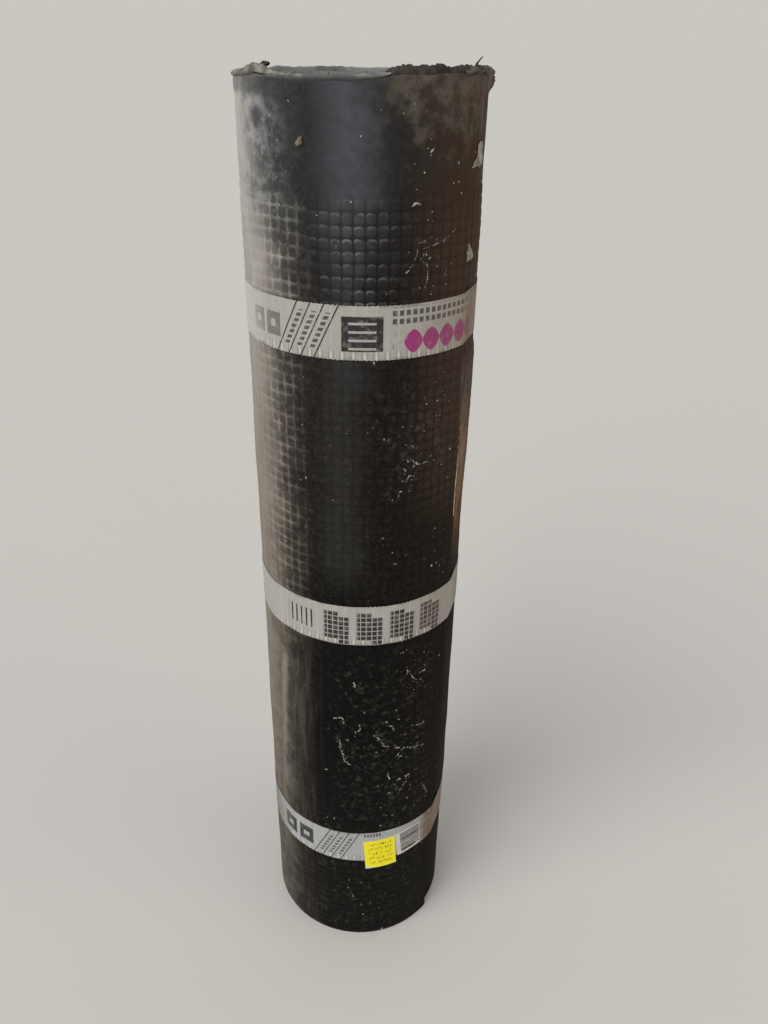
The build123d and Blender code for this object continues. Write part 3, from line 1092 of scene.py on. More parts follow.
def upper_print(x, v, faded):
    """The upper wrap's print: faded blocks, leaning lines, a slotted panel, squares and a row of lozenges.

    x is the length round the roll within one repeat, and v is -1 to 1 across the wrap. Returns the dark
    print's mask and the bright print's. A lozenge's edge is where the 1.5th powers of the places sum to 1.
    """
    blocks = x.between(-0.119, -0.101, PRINT_SOFT).most(x.between(-0.097, -0.079, PRINT_SOFT))
    holes = x.between(-0.113, -0.107, PRINT_SOFT).most(x.between(-0.091, -0.085, PRINT_SOFT))
    blocks = blocks * v.between(-0.46, 0.40, 0.03) * (1 - holes * v.between(-0.14, 0.12, 0.03)) * faded
    lines = leaning_lines(x, v, -0.072, -0.031, 0.0128)
    slots = stripes(v + 0.62, 0.31, 0.10) * x.between(-0.013, 0.011, PRINT_SOFT)
    panel = x.between(-0.019, 0.017, PRINT_SOFT) * v.between(-0.66, 0.60, 0.03) * (1 - slots)
    rows = stripes(x, 0.0062, 0.0046) * stripes(v, 0.30, 0.22) * v.between(0.28, 0.92, 0.02)
    rows = rows * x.between(0.024, 0.118, PRINT_SOFT) * 0.85
    lozenge = abs((x / 0.018).part() * 2 - 1) ** 1.5 + (abs(v + 0.36) / 0.44) ** 1.5
    accent = lozenge.rise(1.04, 0.96) * x.between(0.036, 0.126, PRINT_SOFT)
    return blocks.most(lines).most(panel).most(rows), accent


def middle_print(x, v, faded):
    """The middle wrap's print: thin upright strokes and stepped blocks of squares, with nothing bright."""
    strokes = stripes(x, 0.0062, 0.0022) * x.between(-0.085, -0.052, PRINT_SOFT)
    strokes = strokes * v.between(-0.42, 0.50, 0.03)
    start = x + 0.042
    block = 0.0348
    step = ((start / block).part() * 2).whole() * 0.242
    squares = stripes(start, 0.0058, 0.0056) * stripes(v + 0.02, 0.242, 0.232) * stripes(start, block, 0.0305)
    squares = squares * (v + step).between(-0.74, 0.70, 0.02) * start.between(0.0, 0.140, PRINT_SOFT)
    return strokes.most(squares) * faded, x * 0


def lower_print(x, v, faded):
    """The lower wrap's print: blocks with holes, leaning lines and a row of marks, with nothing bright."""
    blocks = x.between(-0.111, -0.089, PRINT_SOFT).most(x.between(-0.083, -0.062, PRINT_SOFT))
    holes = x.between(-0.104, -0.096, PRINT_SOFT).most(x.between(-0.077, -0.068, PRINT_SOFT))
    blocks = blocks * v.between(-0.52, 0.50, 0.03) * (1 - holes * v.between(-0.16, 0.10, 0.03))
    lines = leaning_lines(x, v, -0.050, -0.012, 0.0118)
    marks = stripes(x, 0.0036, 0.0024) * v.between(0.72, 0.90, 0.02) * x.between(0.004, 0.024, PRINT_SOFT)
    return blocks.most(lines).most(marks) * faded, x * 0


def wrap_paper(shade, place, height, length, v, clouds):
    """The wrap's pale paper: bluer near the foot, and light on the creases, partly stretched paper and partly
    a painted highlight, with a painted shade line beside each.
    """
    paper = shade.blend(height.rise(0.40, 0.20) * 0.8, bpy.context.scene.wrap_bands.paper, "B0B2B6")
    paper = shade.blend(clouds.rise(0.3, 0.7) * 0.25, paper, "9A968C")
    across = abs((length / bpy.context.scene.felt_sheet.nub_pitch_round).part() * 2 - 1)
    hem = 0.16 + 0.84 * v.rise(-0.62, -0.84)
    uneven = 0.4 + 0.9 * shade.noise(place, 0.008, 2, shift=5.0)
    # Light creases: partly stretched paper, partly a painted highlight
    paper = shade.blend(across.rise(0.74, 0.97) * hem * uneven, paper, "DEDACF")
    # A painted shade line beside each crease
    beside_crease = across.between(0.48, 0.62, 0.10) * v.rise(-0.5, -0.8)
    return shade.blend(beside_crease * 0.35, paper, "6E685E")


def wrap_material(name, node, pattern, faded, browned_from, browning):
    """Pale wrap with its worn print, dust at the left, brown at the right that is partly stain and partly
    painted warm light and shade, and dark specks along its edges.

    The print runs on the arc from the front, which starts again after each repeat.
    """
    wrap = bpy.context.scene.wrap_bands
    low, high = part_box(node)
    shade = new_shade(name)
    place = shade.place()
    x, y, height = shade.split(place)
    length, _, _ = shade.split(shade.layout())
    v = (height - (low.z + high.z) / 2) / ((high.z - low.z) / 2)
    bearing = shade.maths("ARCTAN2", x, 0 - y) * degrees(1)
    arc = (bearing * ARC / PRINT_REPEAT + 0.5).part() * PRINT_REPEAT - PRINT_REPEAT / 2
    rough = shade.noise(place, 0.0016, 2, shift=1.0)
    ink, accent = pattern(arc + 0.0004 * (rough - 0.5), v + 0.03 * (rough - 0.5), faded)
    worn = 0.72 + 0.28 * shade.noise(place, 0.005, 3, shift=8.0).rise(0.30, 0.50)
    clouds = shade.noise(place, 0.020, 4)
    grit = shade.noise(place, 0.003, 3, shift=3.0)
    smears = shade.noise(place, 0.009, 4, 0.6, shift=6.0).rise(0.30, 0.60)

    colour = shade.blend(ink * worn, wrap_paper(shade, place, height, length, v, clouds), wrap.ink)
    colour = shade.blend(accent * worn, colour, wrap.accent)
    # Brown towards the right: partly stain, partly painted warm light and shade
    right = x / ROLL_RADIUS + 0.10 * (clouds - 0.5) + 0.05 * (grit - 0.5)
    colour = shade.blend(right.rise(0.26, 0.80) * 0.34, colour, wrap.stain_and_warm_light)
    soiled = right.rise(browned_from, browned_from + 0.12) * browning * (0.55 + 0.45 * smears)
    colour = shade.blend(soiled, colour, wrap.stain_and_warm_light)
    dusty = ((0 - x) / ROLL_RADIUS + 0.14 * (clouds - 0.5)).rise(0.72, 0.98) * (0.70 + 0.30 * grit)
    powder = shade.ramp(height, (0.10, "6F6960"), (0.5, "B2AEA6"), (0.85, "CCC9C3"))
    colour = shade.blend(dusty, colour, powder)
    specks = grit.rise(0.62, 0.74) * 0.45 + abs(v).rise(0.86, 1.0) * clouds.rise(0.45, 0.7) * 0.5
    colour = shade.blend(specks, colour, "4B453D")
    relief = shade.bump(shade.noise(place, 0.0022, 3), 0.00015, 0.5)
    return shade.finish(colour, 0.50 + 0.25 * clouds, relief, specular=0.35)


class FELTROLL_OT_wraps(bpy.types.Operator):
    """Makes the three wrap bands round the roll"""
    bl_idname = "felt_roll.wraps"
    bl_label = "Wrap Bands"

    def execute(self, context):
        # For each wrap: how strong its print still is, from where it browns at the right, partly stain and
        # partly painted warm light and shade, and how strongly
        for node, name, pattern, faded, browned_from, browning in (
            ("upper_band", "wrap_upper", upper_print, 0.60, 0.76, 0.86),
            ("middle_band", "wrap_middle", middle_print, 1.0, 0.84, 0.60),
            ("lower_band", "wrap_lower", lower_print, 0.95, 0.61, 0.95),
        ):
            wrap_band(node, name, wrap_material(name, node, pattern, faded, browned_from, browning))
        return {"FINISHED"}


def sticker(node, name, material, size, bearing, tilt):
    """A sticker laid on the lower wrap: a thin rectangle, turned by its tilt and bent to the roll.

    Its surface swells a little over what lies under it, and its lower edge stands off the felt.
    """
    low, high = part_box(node)
    middle = (low.z + high.z) / 2
    columns, rows = (np.linspace(-0.5, 0.5, count) * length for count, length in zip(STICKER_GRID, size))
    across, up = np.meshgrid(columns, rows, indexing="ij")
    turn = bearing + np.degrees((across * cos(tilt) - up * sin(tilt)) / ROLL_RADIUS)
    height = middle + across * sin(tilt) + up * cos(tilt)
    swell = 0.00014 * waves(31, 0.016, across, up) + 0.0004 * ease(-0.25, -0.5, up / size[1]) ** 2
    top = outside(turn, height, STICKER_FACE + swell)
    bottom = outside(turn, height, STICKER_BACK + swell)
    layout = np.stack([across / size[0] + 0.5, up / size[1] + 0.5], -1)
    piece = slab(name, top, bottom, material, layout)
    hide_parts(node)
    return piece


def yellow_material():
    """Bright yellow paper with faint worn smudges in rows, scuffs along its edges and a bare white corner."""
    shade = new_shade("yellow_paper")
    place = shade.place()
    across, up, _ = shade.split(shade.layout())
    fibres = shade.noise(place, 0.0012, 3)
    specks = shade.noise(place, 0.0021, 2, 0.6, shift=2.0).rise(0.49, 0.58)
    rows = stripes(up + 0.04, 0.17, 0.112) * across.between(0.16, 0.86, 0.04) * up.between(0.12, 0.88, 0.03)
    patchy = shade.noise(place, 0.008, 2, shift=7.0).rise(0.40, 0.60)
    colour = shade.blend(fibres.rise(0.3, 0.7) * 0.20, bpy.context.scene.roll_stickers.yellow, "DDCF1C")
    colour = shade.blend(specks * rows * (0.45 + 0.55 * patchy), colour, "45431A")
    edge = (abs(across * 2 - 1).most(abs(up * 2 - 1)) + 0.05 * (fibres - 0.5)).rise(0.955, 0.99)
    colour = shade.blend(edge * 0.5, colour, "F3EDBE")
    bare = (up + 0.35 * across + 0.06 * (fibres - 0.5)).rise(0.13, 0.09)
    colour = shade.blend(bare, colour, "DCD8C8")
    return shade.finish(colour, 0.55 + 0.2 * fibres, shade.bump(fibres, 0.0001, 0.4), specular=0.4)


def bar_material():
    """White paper with plain black bars along the roll's girth, in two groups with a white line between."""
    stickers = bpy.context.scene.roll_stickers
    shade = new_shade("white_paper")
    place = shade.place()
    across, up, _ = shade.split(shade.layout())
    fibres = shade.noise(place, 0.0015, 3)
    bars = stripes(up, 0.074, 0.054).most(stripes(up + 0.05, 0.172, 0.060))
    groups = up.between(0.06, 0.47, 0.008).most(up.between(0.51, 0.95, 0.008))
    printed = bars * (groups * across.between(0.17, 0.96, 0.01))
    colour = shade.blend(fibres * 0.3, stickers.white, "B3AFA8")
    colour = shade.blend(printed * (0.70 + 0.30 * fibres.rise(0.35, 0.5)), colour, stickers.ink)
    soiled = shade.noise(place, 0.01, 3, shift=6.0).rise(0.5, 0.8) * 0.35 + across.rise(0.75, 1.0) * 0.25
    colour = shade.blend(soiled, colour, "7D746A")
    return shade.finish(colour, 0.5 + 0.2 * fibres, shade.bump(fibres, 0.0001, 0.4), specular=0.4)


class FELTROLL_OT_stickers(bpy.types.Operator):
    """Makes the yellow sticker and the white bar sticker on the lower wrap"""
    bl_idname = "felt_roll.stickers"
    bl_label = "Stickers"

    def execute(self, context):
        yellow_tilt = context.scene.roll_stickers.yellow_tilt
        bar_tilt = context.scene.roll_stickers.bar_tilt
        yellow, white = yellow_material(), bar_material()
        piece = sticker("yellow_label", "yellow_sticker", yellow, YELLOW_SIZE, YELLOW_BEARING, yellow_tilt)
        piece = sticker("barcode_label", "bar_sticker", white, BAR_SIZE, BAR_BEARING, bar_tilt)
        return {"FINISHED"}


def rag(name, material, seed, bearings, reach, drop, bulk, lift, loose=0.0008):
    """Torn film over the head's rim: it lies on the head, folds over the rim and hangs down outside.

    A point's run across the film is q, from the head's end to the hanging end. Below 0 the radius grows with
    q, above 0 the height falls with it, and the corner is rounded by an exponential. Both ends and the drop
    vary, and the hanging end sinks into the roll. A point's layout is its arc round the rim and its q.
    """
    side, run = unit_grid(*RAG_GRID)
    bearing = bearings[0] + (bearings[1] - bearings[0]) * side
    arc = np.radians(bearing) * ROLL_RADIUS
    taper = np.sin(pi * side) ** 0.5
    inward = reach * taper * (0.84 + 0.13 * waves(seed, 0.030, arc) + 0.03 * waves(seed + 6, 0.007, arc))
    downward = drop(side) * (1 + 0.12 * waves(seed + 1, 0.026, arc))
    q = -inward + (inward + downward) * run
    rounding = FOLD_RADIUS * np.exp(-np.abs(q) / FOLD_RADIUS)
    rumple = bulk * (waves(seed + 2, 0.022, arc, q) + 0.40 * waves(seed + 3, 0.008, arc, q))
    rumple = rumple + 0.28 * bulk * waves(seed + 4, 0.0040, arc, q)
    hump = lift * np.exp(-((side - 0.62) / 0.17) ** 2) * np.exp(-((q + 0.006) / 0.007) ** 2)
    hump = hump * (1 + 0.28 * waves(seed + 5, 0.010, arc, q))
    upward = np.abs(rumple) * (1 - ease(-0.001, 0.003, q))
    rim = outside(bearing, 0.985, 0.0004)
    hanging = ease(-0.004, 0.002, q) * (loose + np.abs(rumple)) * (1 - 0.9 * ease(0.5, 1.0, q / downward))
    sunk = 0.0010 * ease(0.55, 1.0, q / downward)
    radius = np.hypot(rim[..., 0], rim[..., 1]) + np.minimum(q, 0) - rounding + hanging - sunk
    standing = rim_rise(bearing) * ease(-0.012, -0.001, q)
    height = SHEET_WIDTH + RAG_REST + standing - np.maximum(q, 0) - rounding + upward + hump
    tilt = pi / 4 * (1 - np.tanh(q / 0.003))
    grids = []
    for offset in (0.0, RAG_THICKNESS):
        grid = upright(radius - offset * np.cos(tilt), bearing, height - offset * np.sin(tilt))
        grids.append(grid[:, ::-1])
    layout = np.stack(np.broadcast_arrays(arc, q), -1)
    return slab(name, *grids, material, layout[:, ::-1])


def flap(name, material, seed, bearings, insets, lift):
    """A crumpled sheet of torn film over the head, with ragged edges.

    It starts on the raised rim, rises to a ridge just inside it and slopes down towards the bore.
    """
    side, run = unit_grid(*FLAP_GRID)
    arc = np.radians(bearings[1] - bearings[0]) * ROLL_RADIUS * side
    bearing = bearings[0] + (bearings[1] - bearings[0]) * side + 0.5 * waves(seed, 0.02, arc, 0.05 * run)
    taper = np.sin(pi * np.clip(side, 0.02, 0.98)) ** 0.35
    ragged = 0.0008 * waves(seed + 1, 0.012, arc) * (1 - run) + 0.0030 * waves(seed + 4, 0.020, arc) * run
    inset = insets[0] + (insets[1] - insets[0]) * run ** 1.4 * taper + ragged
    ridges = 0.84 + 0.22 * waves(seed + 2, 0.020, arc, inset) + 0.16 * waves(seed + 3, 0.0055, arc, inset)
    edges = np.clip(1 - np.abs(2 * side - 1) ** 6, 0, 1)
    ridge = rim_rise(bearing) + lift * edges * ridges * ease(0.0, 0.16, run)
    proud = 0.0010 - 0.0026 * ease(0.06, 0.0, run) + ridge * (1 - 0.8 * ease(0.22, 1.0, run))
    bottom = on_head(bearing, inset, proud)
    top = on_head(bearing, inset, proud + FLAP_THICKNESS)
    return slab(name, top, bottom, material)


def curl(name, material, bearing, inset, level, length, radius):
    """A strip of torn film that curls back over itself: a rolled arc that narrows towards its two ends."""
    along = np.linspace(-0.5, 0.5, CURL_GRID[0])[:, None]
    turn = np.linspace(-0.35, 1.15, CURL_GRID[1])[None, :] * pi
    narrowed = radius * (1 - 0.7 * np.abs(2 * along) ** 2.5) * (1 + 0.2 * waves(61, 0.25, along, turn * 0.1))
    grids = []
    for share in (0.75, 1.0):
        reach = narrowed * share
        way = bearing + np.degrees(along * length / ROLL_RADIUS)
        grids.append(on_head(way, inset + reach * np.cos(turn), level + reach * np.sin(turn) + 0.002 * along))
    return slab(name, *grids, material)


def stalk(name, material, line, thickness):
    """A thin stalk: round sections of a tapering radius along a line of points, closed at both ends."""
    line = np.array(line)
    step = np.linspace(0, 1, STALK_STEPS)
    centre = np.stack([np.interp(step, np.linspace(0, 1, len(line)), line[:, i]) for i in range(3)], -1)
    around = np.linspace(0, 2 * pi, STALK_SIDES, endpoint=False)
    radius = thickness / 2 * (1.0 - 0.75 * step) * (1 + 0.25 * waves(63, 0.12, step))
    ring = np.stack([np.cos(around), np.sin(around), np.zeros(STALK_SIDES)], -1)
    points = centre[:, None, :] + radius[:, None, None] * ring[None, :, :]
    faces = grid_faces(STALK_STEPS, STALK_SIDES, round_rows=True)[:, ::-1]
    cap = np.arange(STALK_SIDES)[None, :]
    last = (STALK_STEPS - 1) * STALK_SIDES
    return new_piece(name, points.reshape(-1, 3), [faces, cap[:, ::-1], cap + last], material)


def left_drop(side):
    """How far the rag at the left hangs at a share of its width: most at a third of it."""
    return 0.0015 + 0.0030 * np.exp(-((side - 0.35) / 0.25) ** 2)


def front_drop(side):
    """How far the film at the front hangs: a little, and unevenly."""
    return (0.0062 + 0.0010 * np.sin(9 * side)) * (1 - 0.9 * side ** 8)


def right_drop(side):
    """How far the fold at the right hangs: most at its middle."""
    return 0.0032 + 0.0148 * np.exp(-((side - 0.68) / 0.20) ** 2)


class FELTROLL_OT_torn_film(bpy.types.Operator):
    """Makes the torn film on the head: three pieces over its rim, a curl and two flaps"""
    bl_idname = "felt_roll.torn_film"
    bl_label = "Torn Film"

    def execute(self, context):
        dirt = context.scene.head_dirt
        grey = matt_material("dusty_rag", "A39F98", "625E57", 0.0035, 0.0006, hanging="6A665F")
        faded = matt_material("dusty_sheet", "A1A09B", "6A6A69", 0.006, 0.0004, hanging="434447")
        dusted = matt_material("dusty_fold", "6A6259", "443D36", 0.005, 0.0006)
        dark = matt_material("torn_edge", "1D1B19", "403A34", 0.0035, 0.0007, 0.6)
        rag("torn_rag", grey, seed=40, bearings=(-92.0, -30.0), reach=0.030, drop=left_drop, bulk=0.0012,
            lift=dirt.rag_lift)
        rag("torn_fold", dusted, seed=90, bearings=(45.0, 94.0), reach=0.012, drop=right_drop, bulk=0.0020,
            lift=0.0012)
        rag("film_front", faded, seed=91, bearings=(-44.0, 10.5), reach=0.040, drop=front_drop, bulk=0.0004,
            lift=0.0, loose=0.0001)
        curl("torn_curl", dark, bearing=-49.0, inset=0.007, level=0.0102, length=0.015, radius=0.0021)
        flap("flap_front", dark, seed=51, bearings=(7.0, 40.0), insets=(0.001, 0.046), lift=dirt.flap_lift)
        flap("flap_right", dark, seed=56, bearings=(36.0, 63.0), insets=(0.001, 0.036),
             lift=0.9 * dirt.flap_lift)
        return {"FINISHED"}


def lumps(name, material, surface, places, outlines, thickness):
    """Small closed lumps on a surface, joined in one piece.

    Each has a top point, three rings that follow its outline and a foot point below the surface. Places are
    a bearing and a height or inset, and outlines are offsets from it in metres, counter-clockwise.
    """
    count, spokes = outlines.shape[:2]
    ring_reach, ring_level = LUMP_RINGS.T
    rings = outlines[:, None, :, :] * ring_reach[None, :, None, None]
    middle = np.zeros((count, 1, 2))
    offsets = np.concatenate([middle, rings.reshape(count, -1, 2), middle], 1)
    share = np.concatenate([[1.0], np.repeat(ring_level, spokes), [ring_level[-1]]])
    bearing = places[:, :1] + offsets[..., 0] / ARC
    second = places[:, 1:] + offsets[..., 1]
    points = surface(bearing, second, share[None, :] * thickness[:, None])
    size = points.shape[1]
    spoke = np.arange(spokes)
    following = (spoke + 1) % spokes
    ring = np.arange(len(LUMP_RINGS) - 1)[:, None] * spokes + 1
    wall = np.stack([ring + spoke, ring + spokes + spoke, ring + spokes + following, ring + following], -1)
    last = size - 1 - spokes
    fans = np.concatenate([
        np.stack([np.zeros(spokes, int), spoke + 1, following + 1], -1),
        np.stack([last + spoke, np.full(spokes, size - 1), last + following], -1),
    ])
    start = size * np.arange(count)[:, None, None]
    faces = [(wall.reshape(1, -1, 4) + start).reshape(-1, 4), (fans[None] + start).reshape(-1, 3)]
    return new_piece(name, points.reshape(-1, 3), faces, material)


def ovals(draw, lengths, widths, turns):
    """Uneven oval outlines: spokes of an ellipse whose reach changes by a seeded share, each oval turned."""
    spoke = 2 * pi * np.arange(LUMP_SPOKES) / LUMP_SPOKES
    reach = draw.uniform(0.62, 1.25, (len(lengths), LUMP_SPOKES))
    along = reach * np.cos(spoke) * lengths[:, None] / 2
    across = reach * np.sin(spoke) * widths[:, None] / 2
    cosine, sine = np.cos(turns)[:, None], np.sin(turns)[:, None]
    return np.stack([along * cosine - across * sine, along * sine + across * cosine], -1)


def on_relief(bearing, height, proud):
    """Points on the outside, which follow its nubs and grooves."""
    return outside(bearing, height, proud, relief=True)


def scratch_dashes(draw):
    """Places and directions of short dashes along the scratches, in groups with gaps between them."""
    places, turns = [], []
    for number, stroke in enumerate(SCRATCHES):
        line = np.array(stroke)
        legs = np.diff(line * (ARC, 1), axis=0)
        run = np.concatenate([[0], np.cumsum(np.hypot(*legs.T))])
        at = np.arange(0, run[-1], 0.0009)
        at = at[waves(82 + number, 0.008, at) + draw.uniform(-0.7, 1.1, at.size) > 0]
        leg = np.clip(np.searchsorted(run, at) - 1, 0, len(legs) - 1)
        places.append(np.stack([np.interp(at, run, line[:, 0]), np.interp(at, run, line[:, 1])], -1))
        turns.append(np.arctan2(legs[leg, 1], legs[leg, 0]))
    return np.concatenate(places), np.concatenate(turns)


def even_outline(corners):
    """Evenly spaced points along a closed line of corners, as offsets in metres from its centre, and that."""
    corners = np.array(corners)
    centre = corners.mean(0)
    closed = np.concatenate([corners, corners[:1]]) - centre
    closed = closed * (ARC, 1)
    run = np.concatenate([[0], np.cumsum(np.hypot(*np.diff(closed, axis=0).T))])
    at = np.linspace(0, run[-1], FLAKE_SPOKES, endpoint=False)
    return centre, np.stack([np.interp(at, run, closed[:, i]) for i in (0, 1)], -1)


def scratches(draw, material):
    """The scratches: short dashes along each stroke, finer on the upper half."""
    places, turns = scratch_dashes(draw)
    count = len(places)
    bold = np.where(places[:, 1] > 0.6, 0.45, 1.0)
    lengths = draw.uniform(0.0012, 0.0028, count)
    widths = bold * draw.uniform(0.0006, 0.0018, count)
    outlines = ovals(draw, lengths, widths, turns)
    places = places + draw.normal(0, 1, (count, 2)) * bold[:, None] * (0.35, 0.0007)
    lumps("scratches", material, on_relief, places, outlines, draw.uniform(0.00008, 0.0002, count))


def fine_specks(draw, material):
    """Fine specks in normally spread clusters, with none on the wraps."""
    places = np.concatenate([
        np.column_stack([draw.normal(bearing, spread, count), draw.normal(height, rise, count)])
        for bearing, height, spread, rise, count in CLUSTERS
    ])
    places[:, 1] = np.clip(places[:, 1], 0.004, 0.985)
    banded = np.zeros(len(places), bool)
    for node in BANDS:
        low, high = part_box(node)
        banded |= (places[:, 1] > low.z - 0.002) & (places[:, 1] < high.z + 0.002)
    places = places[~banded]
    count = len(places)
    lengths = 0.0007 * np.exp(draw.normal(0, 0.45, count))
    outlines = ovals(draw, lengths * draw.uniform(1.0, 2.6, count), lengths, draw.uniform(0, pi, count))
    lumps("fine_specks", material, on_relief, places, outlines, lengths * 0.3)


def plaster_specks(draw, material):
    """Larger specks of plaster, one at each of their places."""
    places = np.array(SPECKS)
    count = len(places)
    lengths = draw.uniform(0.0009, 0.0019, count)
    outlines = ovals(draw, lengths, lengths * 0.8, draw.uniform(0, pi, count))
    lumps("plaster_specks", material, on_relief, places, outlines, lengths * 0.45)


def pale_flakes(draw):
    """Flakes that stick to the film, each along its own outline with a ragged edge."""
    centres, outlines = zip(*(even_outline(flake) for flake in FLAKES))
    outlines = np.array(outlines) * draw.uniform(0.84, 1.14, (len(FLAKES), FLAKE_SPOKES, 1))
    flaky = matt_material("pale_flake", "AEA59A", "7A7065", 0.0025, 0.0004)
    lumps("pale_flakes", flaky, outside, np.array(centres), outlines, np.full(len(FLAKES), FLAKE_THICKNESS))


def beige_chip(draw):
    """One chip of beige plaster near the head."""
    chip = matt_material("beige_chip", "A89C7C", "7C7156", 0.002, 0.0004)
    outlines = ovals(draw, *CHIP_OVAL)
    lumps("beige_chip", chip, outside, CHIP_PLACE, outlines, CHIP_THICKNESS)


def head_crumbs(draw, count):
    """Crumbs over the whole head, closer together towards its rim."""
    crumbly = matt_material("dusty_crumbs", "756E65", "4A443D", 0.003, 0.0008)
    bearings = draw.uniform(-180, 180, count)
    places = np.column_stack([bearings, 0.068 * draw.uniform(size=count) ** 1.3 + 0.001])
    lengths = 0.0016 * np.exp(draw.normal(0, 0.4, count))
    outlines = ovals(draw, lengths, lengths * draw.uniform(0.5, 1.0, count), draw.uniform(0, pi, count))
    lumps("head_crumbs", crumbly, on_head, places, outlines, lengths * 0.35)


class FELTROLL_OT_dirt(bpy.types.Operator):
    """Makes the scratches, specks, flakes and thread on the film, and the crumbs and twig on the head"""
    bl_idname = "felt_roll.dirt"
    bl_label = "Dirt"

    def execute(self, context):
        draw = np.random.default_rng(81)
        pale = matt_material("plaster_dust", "C2BDB2", "958F85", 0.002)
        scuffed = matt_material("scuffed_film", "B6B4B0", "74716C", 0.002)
        scratches(draw, scuffed)
        fine_specks(draw, scuffed)
        plaster_specks(draw, pale)
        pale_flakes(draw)
        beige_chip(draw)
        head_crumbs(draw, context.scene.head_dirt.crumbs)
        woody = matt_material("twig", "3A332C", "211E1B", 0.002, 0.0003)
        stalk("twig", woody, [on_head(*place) for place in TWIG_LINE], TWIG_THICKNESS)
        rising = np.linspace(*THREAD_LINE)
        edge = FREE_END_BEARING + free_end_shift(rising) - THREAD_SET_BACK
        stalk("edge_thread", pale, outside(edge, rising, 0.0), THREAD_THICKNESS)
        return {"FINISHED"}


class FELTROLL_OT_stage(bpy.types.Operator):
    """Makes the floor, the lights, the even surroundings and the camera at the photograph's viewing angle"""
    bl_idname = "felt_roll.stage"
    bl_label = "Stage"

    def execute(self, context):
        stage = context.scene.felt_stage
        add_floor(stage.floor)
        add_lamp("key_light", KEY_PLACE, stage.key_strength, KEY_COLOUR)
        add_lamp("fill_light", FILL_PLACE, stage.fill_strength, FILL_COLOUR)
        add_surroundings(stage.daylight)
        add_camera(stage.focal_length)
        context.scene.view_settings.view_transform = "Standard"
        return {"FINISHED"}


def add_lamp(name, place, strength, colour):
    """A wide soft light that shines from a place towards the roll's foot, and as strong everywhere."""
    lamp = bpy.data.lights.new(name, "SUN")
    lamp.angle = radians(LAMP_WIDTH)
    lamp.energy = strength
    lamp.color = colour
    holder = bpy.data.objects.new(name, lamp)
    holder.location = place
    holder.rotation_euler = (-holder.location).to_track_quat("-Z", "Y").to_euler()
    bpy.context.scene.collection.objects.link(holder)


def add_floor(tone):
    """A wide pale floor under the roll, faintly clouded."""
    points = np.array([[-1, -1, 0], [1, -1, 0], [1, 1, 0], [-1, 1, 0]]) * FLOOR_REACH
    shade = new_shade("pale_floor")
    clouds = shade.noise(shade.place(), 0.4, 3)
    mesh = bpy.data.meshes.new("floor")
    mesh.from_pydata(points, [], [(0, 1, 2, 3)])
    mesh.materials.append(shade.finish(shade.blend(clouds * 0.10, tone, "CFCDC9"), 0.85))
    floor = bpy.data.objects.new("floor", mesh)
    bpy.context.scene.collection.objects.link(floor)


def add_surroundings(daylight):
    """Even light from all round. The camera and mirror rays see a pale background instead."""
    world = bpy.data.worlds.new("daylight")
    shade = Shade(world)
    path = shade.node("ShaderNodeLightPath")
    camera, glossy, clear = (
        Value(shade, path.outputs[name]) for name in ("Is Camera Ray", "Is Glossy Ray", "Is Transmission Ray")
    )
    even = shade.read("ShaderNodeBackground", None, {"Strength": daylight})
    pale = shade.read("ShaderNodeBackground", None, {"Color": paint("CAC7C1"), "Strength": 1.0})
    seen = camera.most(glossy).most(clear)
    either = shade.read("ShaderNodeMixShader", None, {0: seen, 1: even, 2: pale})
    shade.node("ShaderNodeOutputWorld", None, {"Surface": either})
    bpy.context.scene.world = world


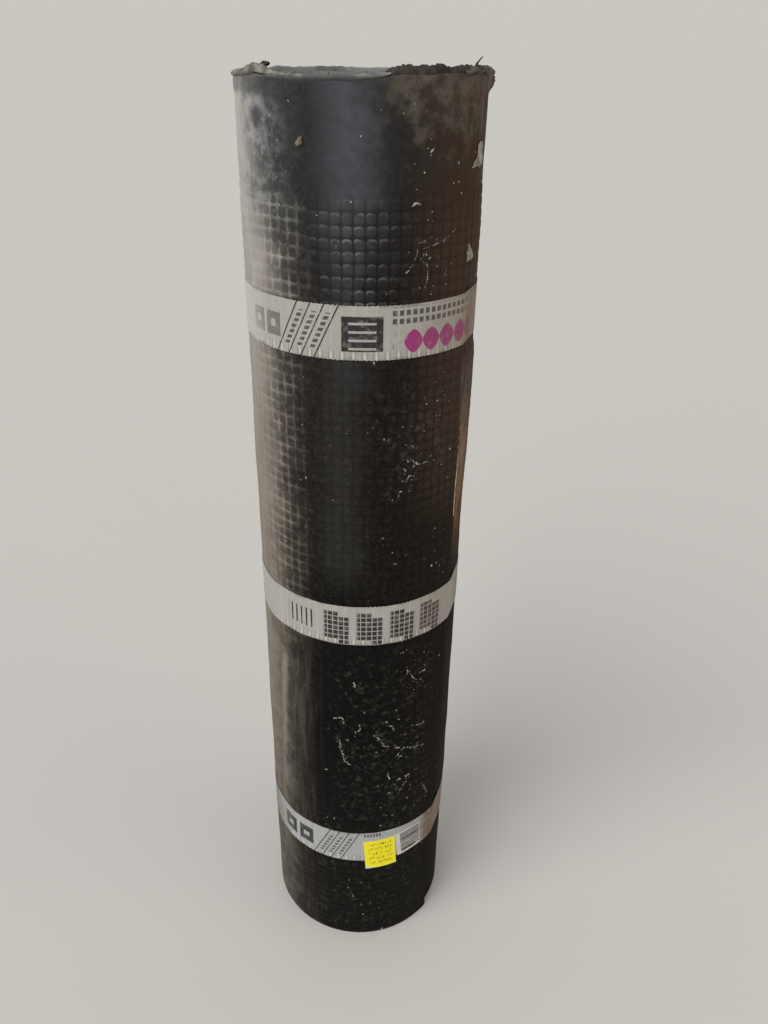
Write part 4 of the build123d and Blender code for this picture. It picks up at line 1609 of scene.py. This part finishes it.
def add_camera(focal_length):
    """The camera where the photograph was taken from: just above the top, near the roll and looking down."""
    camera = bpy.data.cameras.new("camera")
    camera.lens = focal_length
    camera.sensor_width = 36
    camera.clip_start = 0.01
    holder = bpy.data.objects.new("camera", camera)
    aim = Matrix.Rotation(radians(CAMERA_TURN), 4, "Z") @ Matrix.Rotation(radians(90 - CAMERA_DIP), 4, "X")
    roll = Matrix.Rotation(radians(CAMERA_ROLL), 4, "Z")
    holder.matrix_world = Matrix.Translation(CAMERA_PLACE) @ aim @ roll
    bpy.context.scene.collection.objects.link(holder)
    bpy.context.scene.camera = holder


class FELTROLL_PT_panel(bpy.types.Panel):
    """The sidebar panel of the felt roll"""
    bl_idname = "FELTROLL_PT_panel"
    bl_label = "Felt Roll"
    bl_space_type = "VIEW_3D"
    bl_region_type = "UI"
    bl_category = "Felt Roll"

    def draw(self, context):
        for operator in OPERATORS:
            self.layout.operator(operator.bl_idname)
        for group in GROUPS:
            settings = getattr(context.scene, GROUPS[group])
            box = self.layout.box()
            box.label(text=group.__name__)
            for name in group.__annotations__:
                box.prop(settings, name)


GROUPS = {
    FeltSheet: "felt_sheet",
    WrapBands: "wrap_bands",
    RollStickers: "roll_stickers",
    HeadDirt: "head_dirt",
    Stage: "felt_stage",
}
OPERATORS = (
    FELTROLL_OT_stage,
    FELTROLL_OT_wound_sheet,
    FELTROLL_OT_wraps,
    FELTROLL_OT_stickers,
    FELTROLL_OT_torn_film,
    FELTROLL_OT_dirt,
)
CLASSES = (*GROUPS, *OPERATORS, FELTROLL_PT_panel)


def register():
    """Registers the classes, and gives the scene its groups of settings."""
    for each in CLASSES:
        bpy.utils.register_class(each)
    for group, name in GROUPS.items():
        setattr(bpy.types.Scene, name, PointerProperty(type=group))


def unregister():
    """Takes away what register adds."""
    for name in GROUPS.values():
        delattr(bpy.types.Scene, name)
    for each in reversed(CLASSES):
        bpy.utils.unregister_class(each)


def main():
    """Builds the stage and each group of pieces."""
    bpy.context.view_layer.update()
    register()
    bpy.ops.felt_roll.stage()
    bpy.ops.felt_roll.wound_sheet()
    bpy.ops.felt_roll.wraps()
    bpy.ops.felt_roll.stickers()
    bpy.ops.felt_roll.torn_film()
    bpy.ops.felt_roll.dirt()


if __name__ == "__main__":
    main()
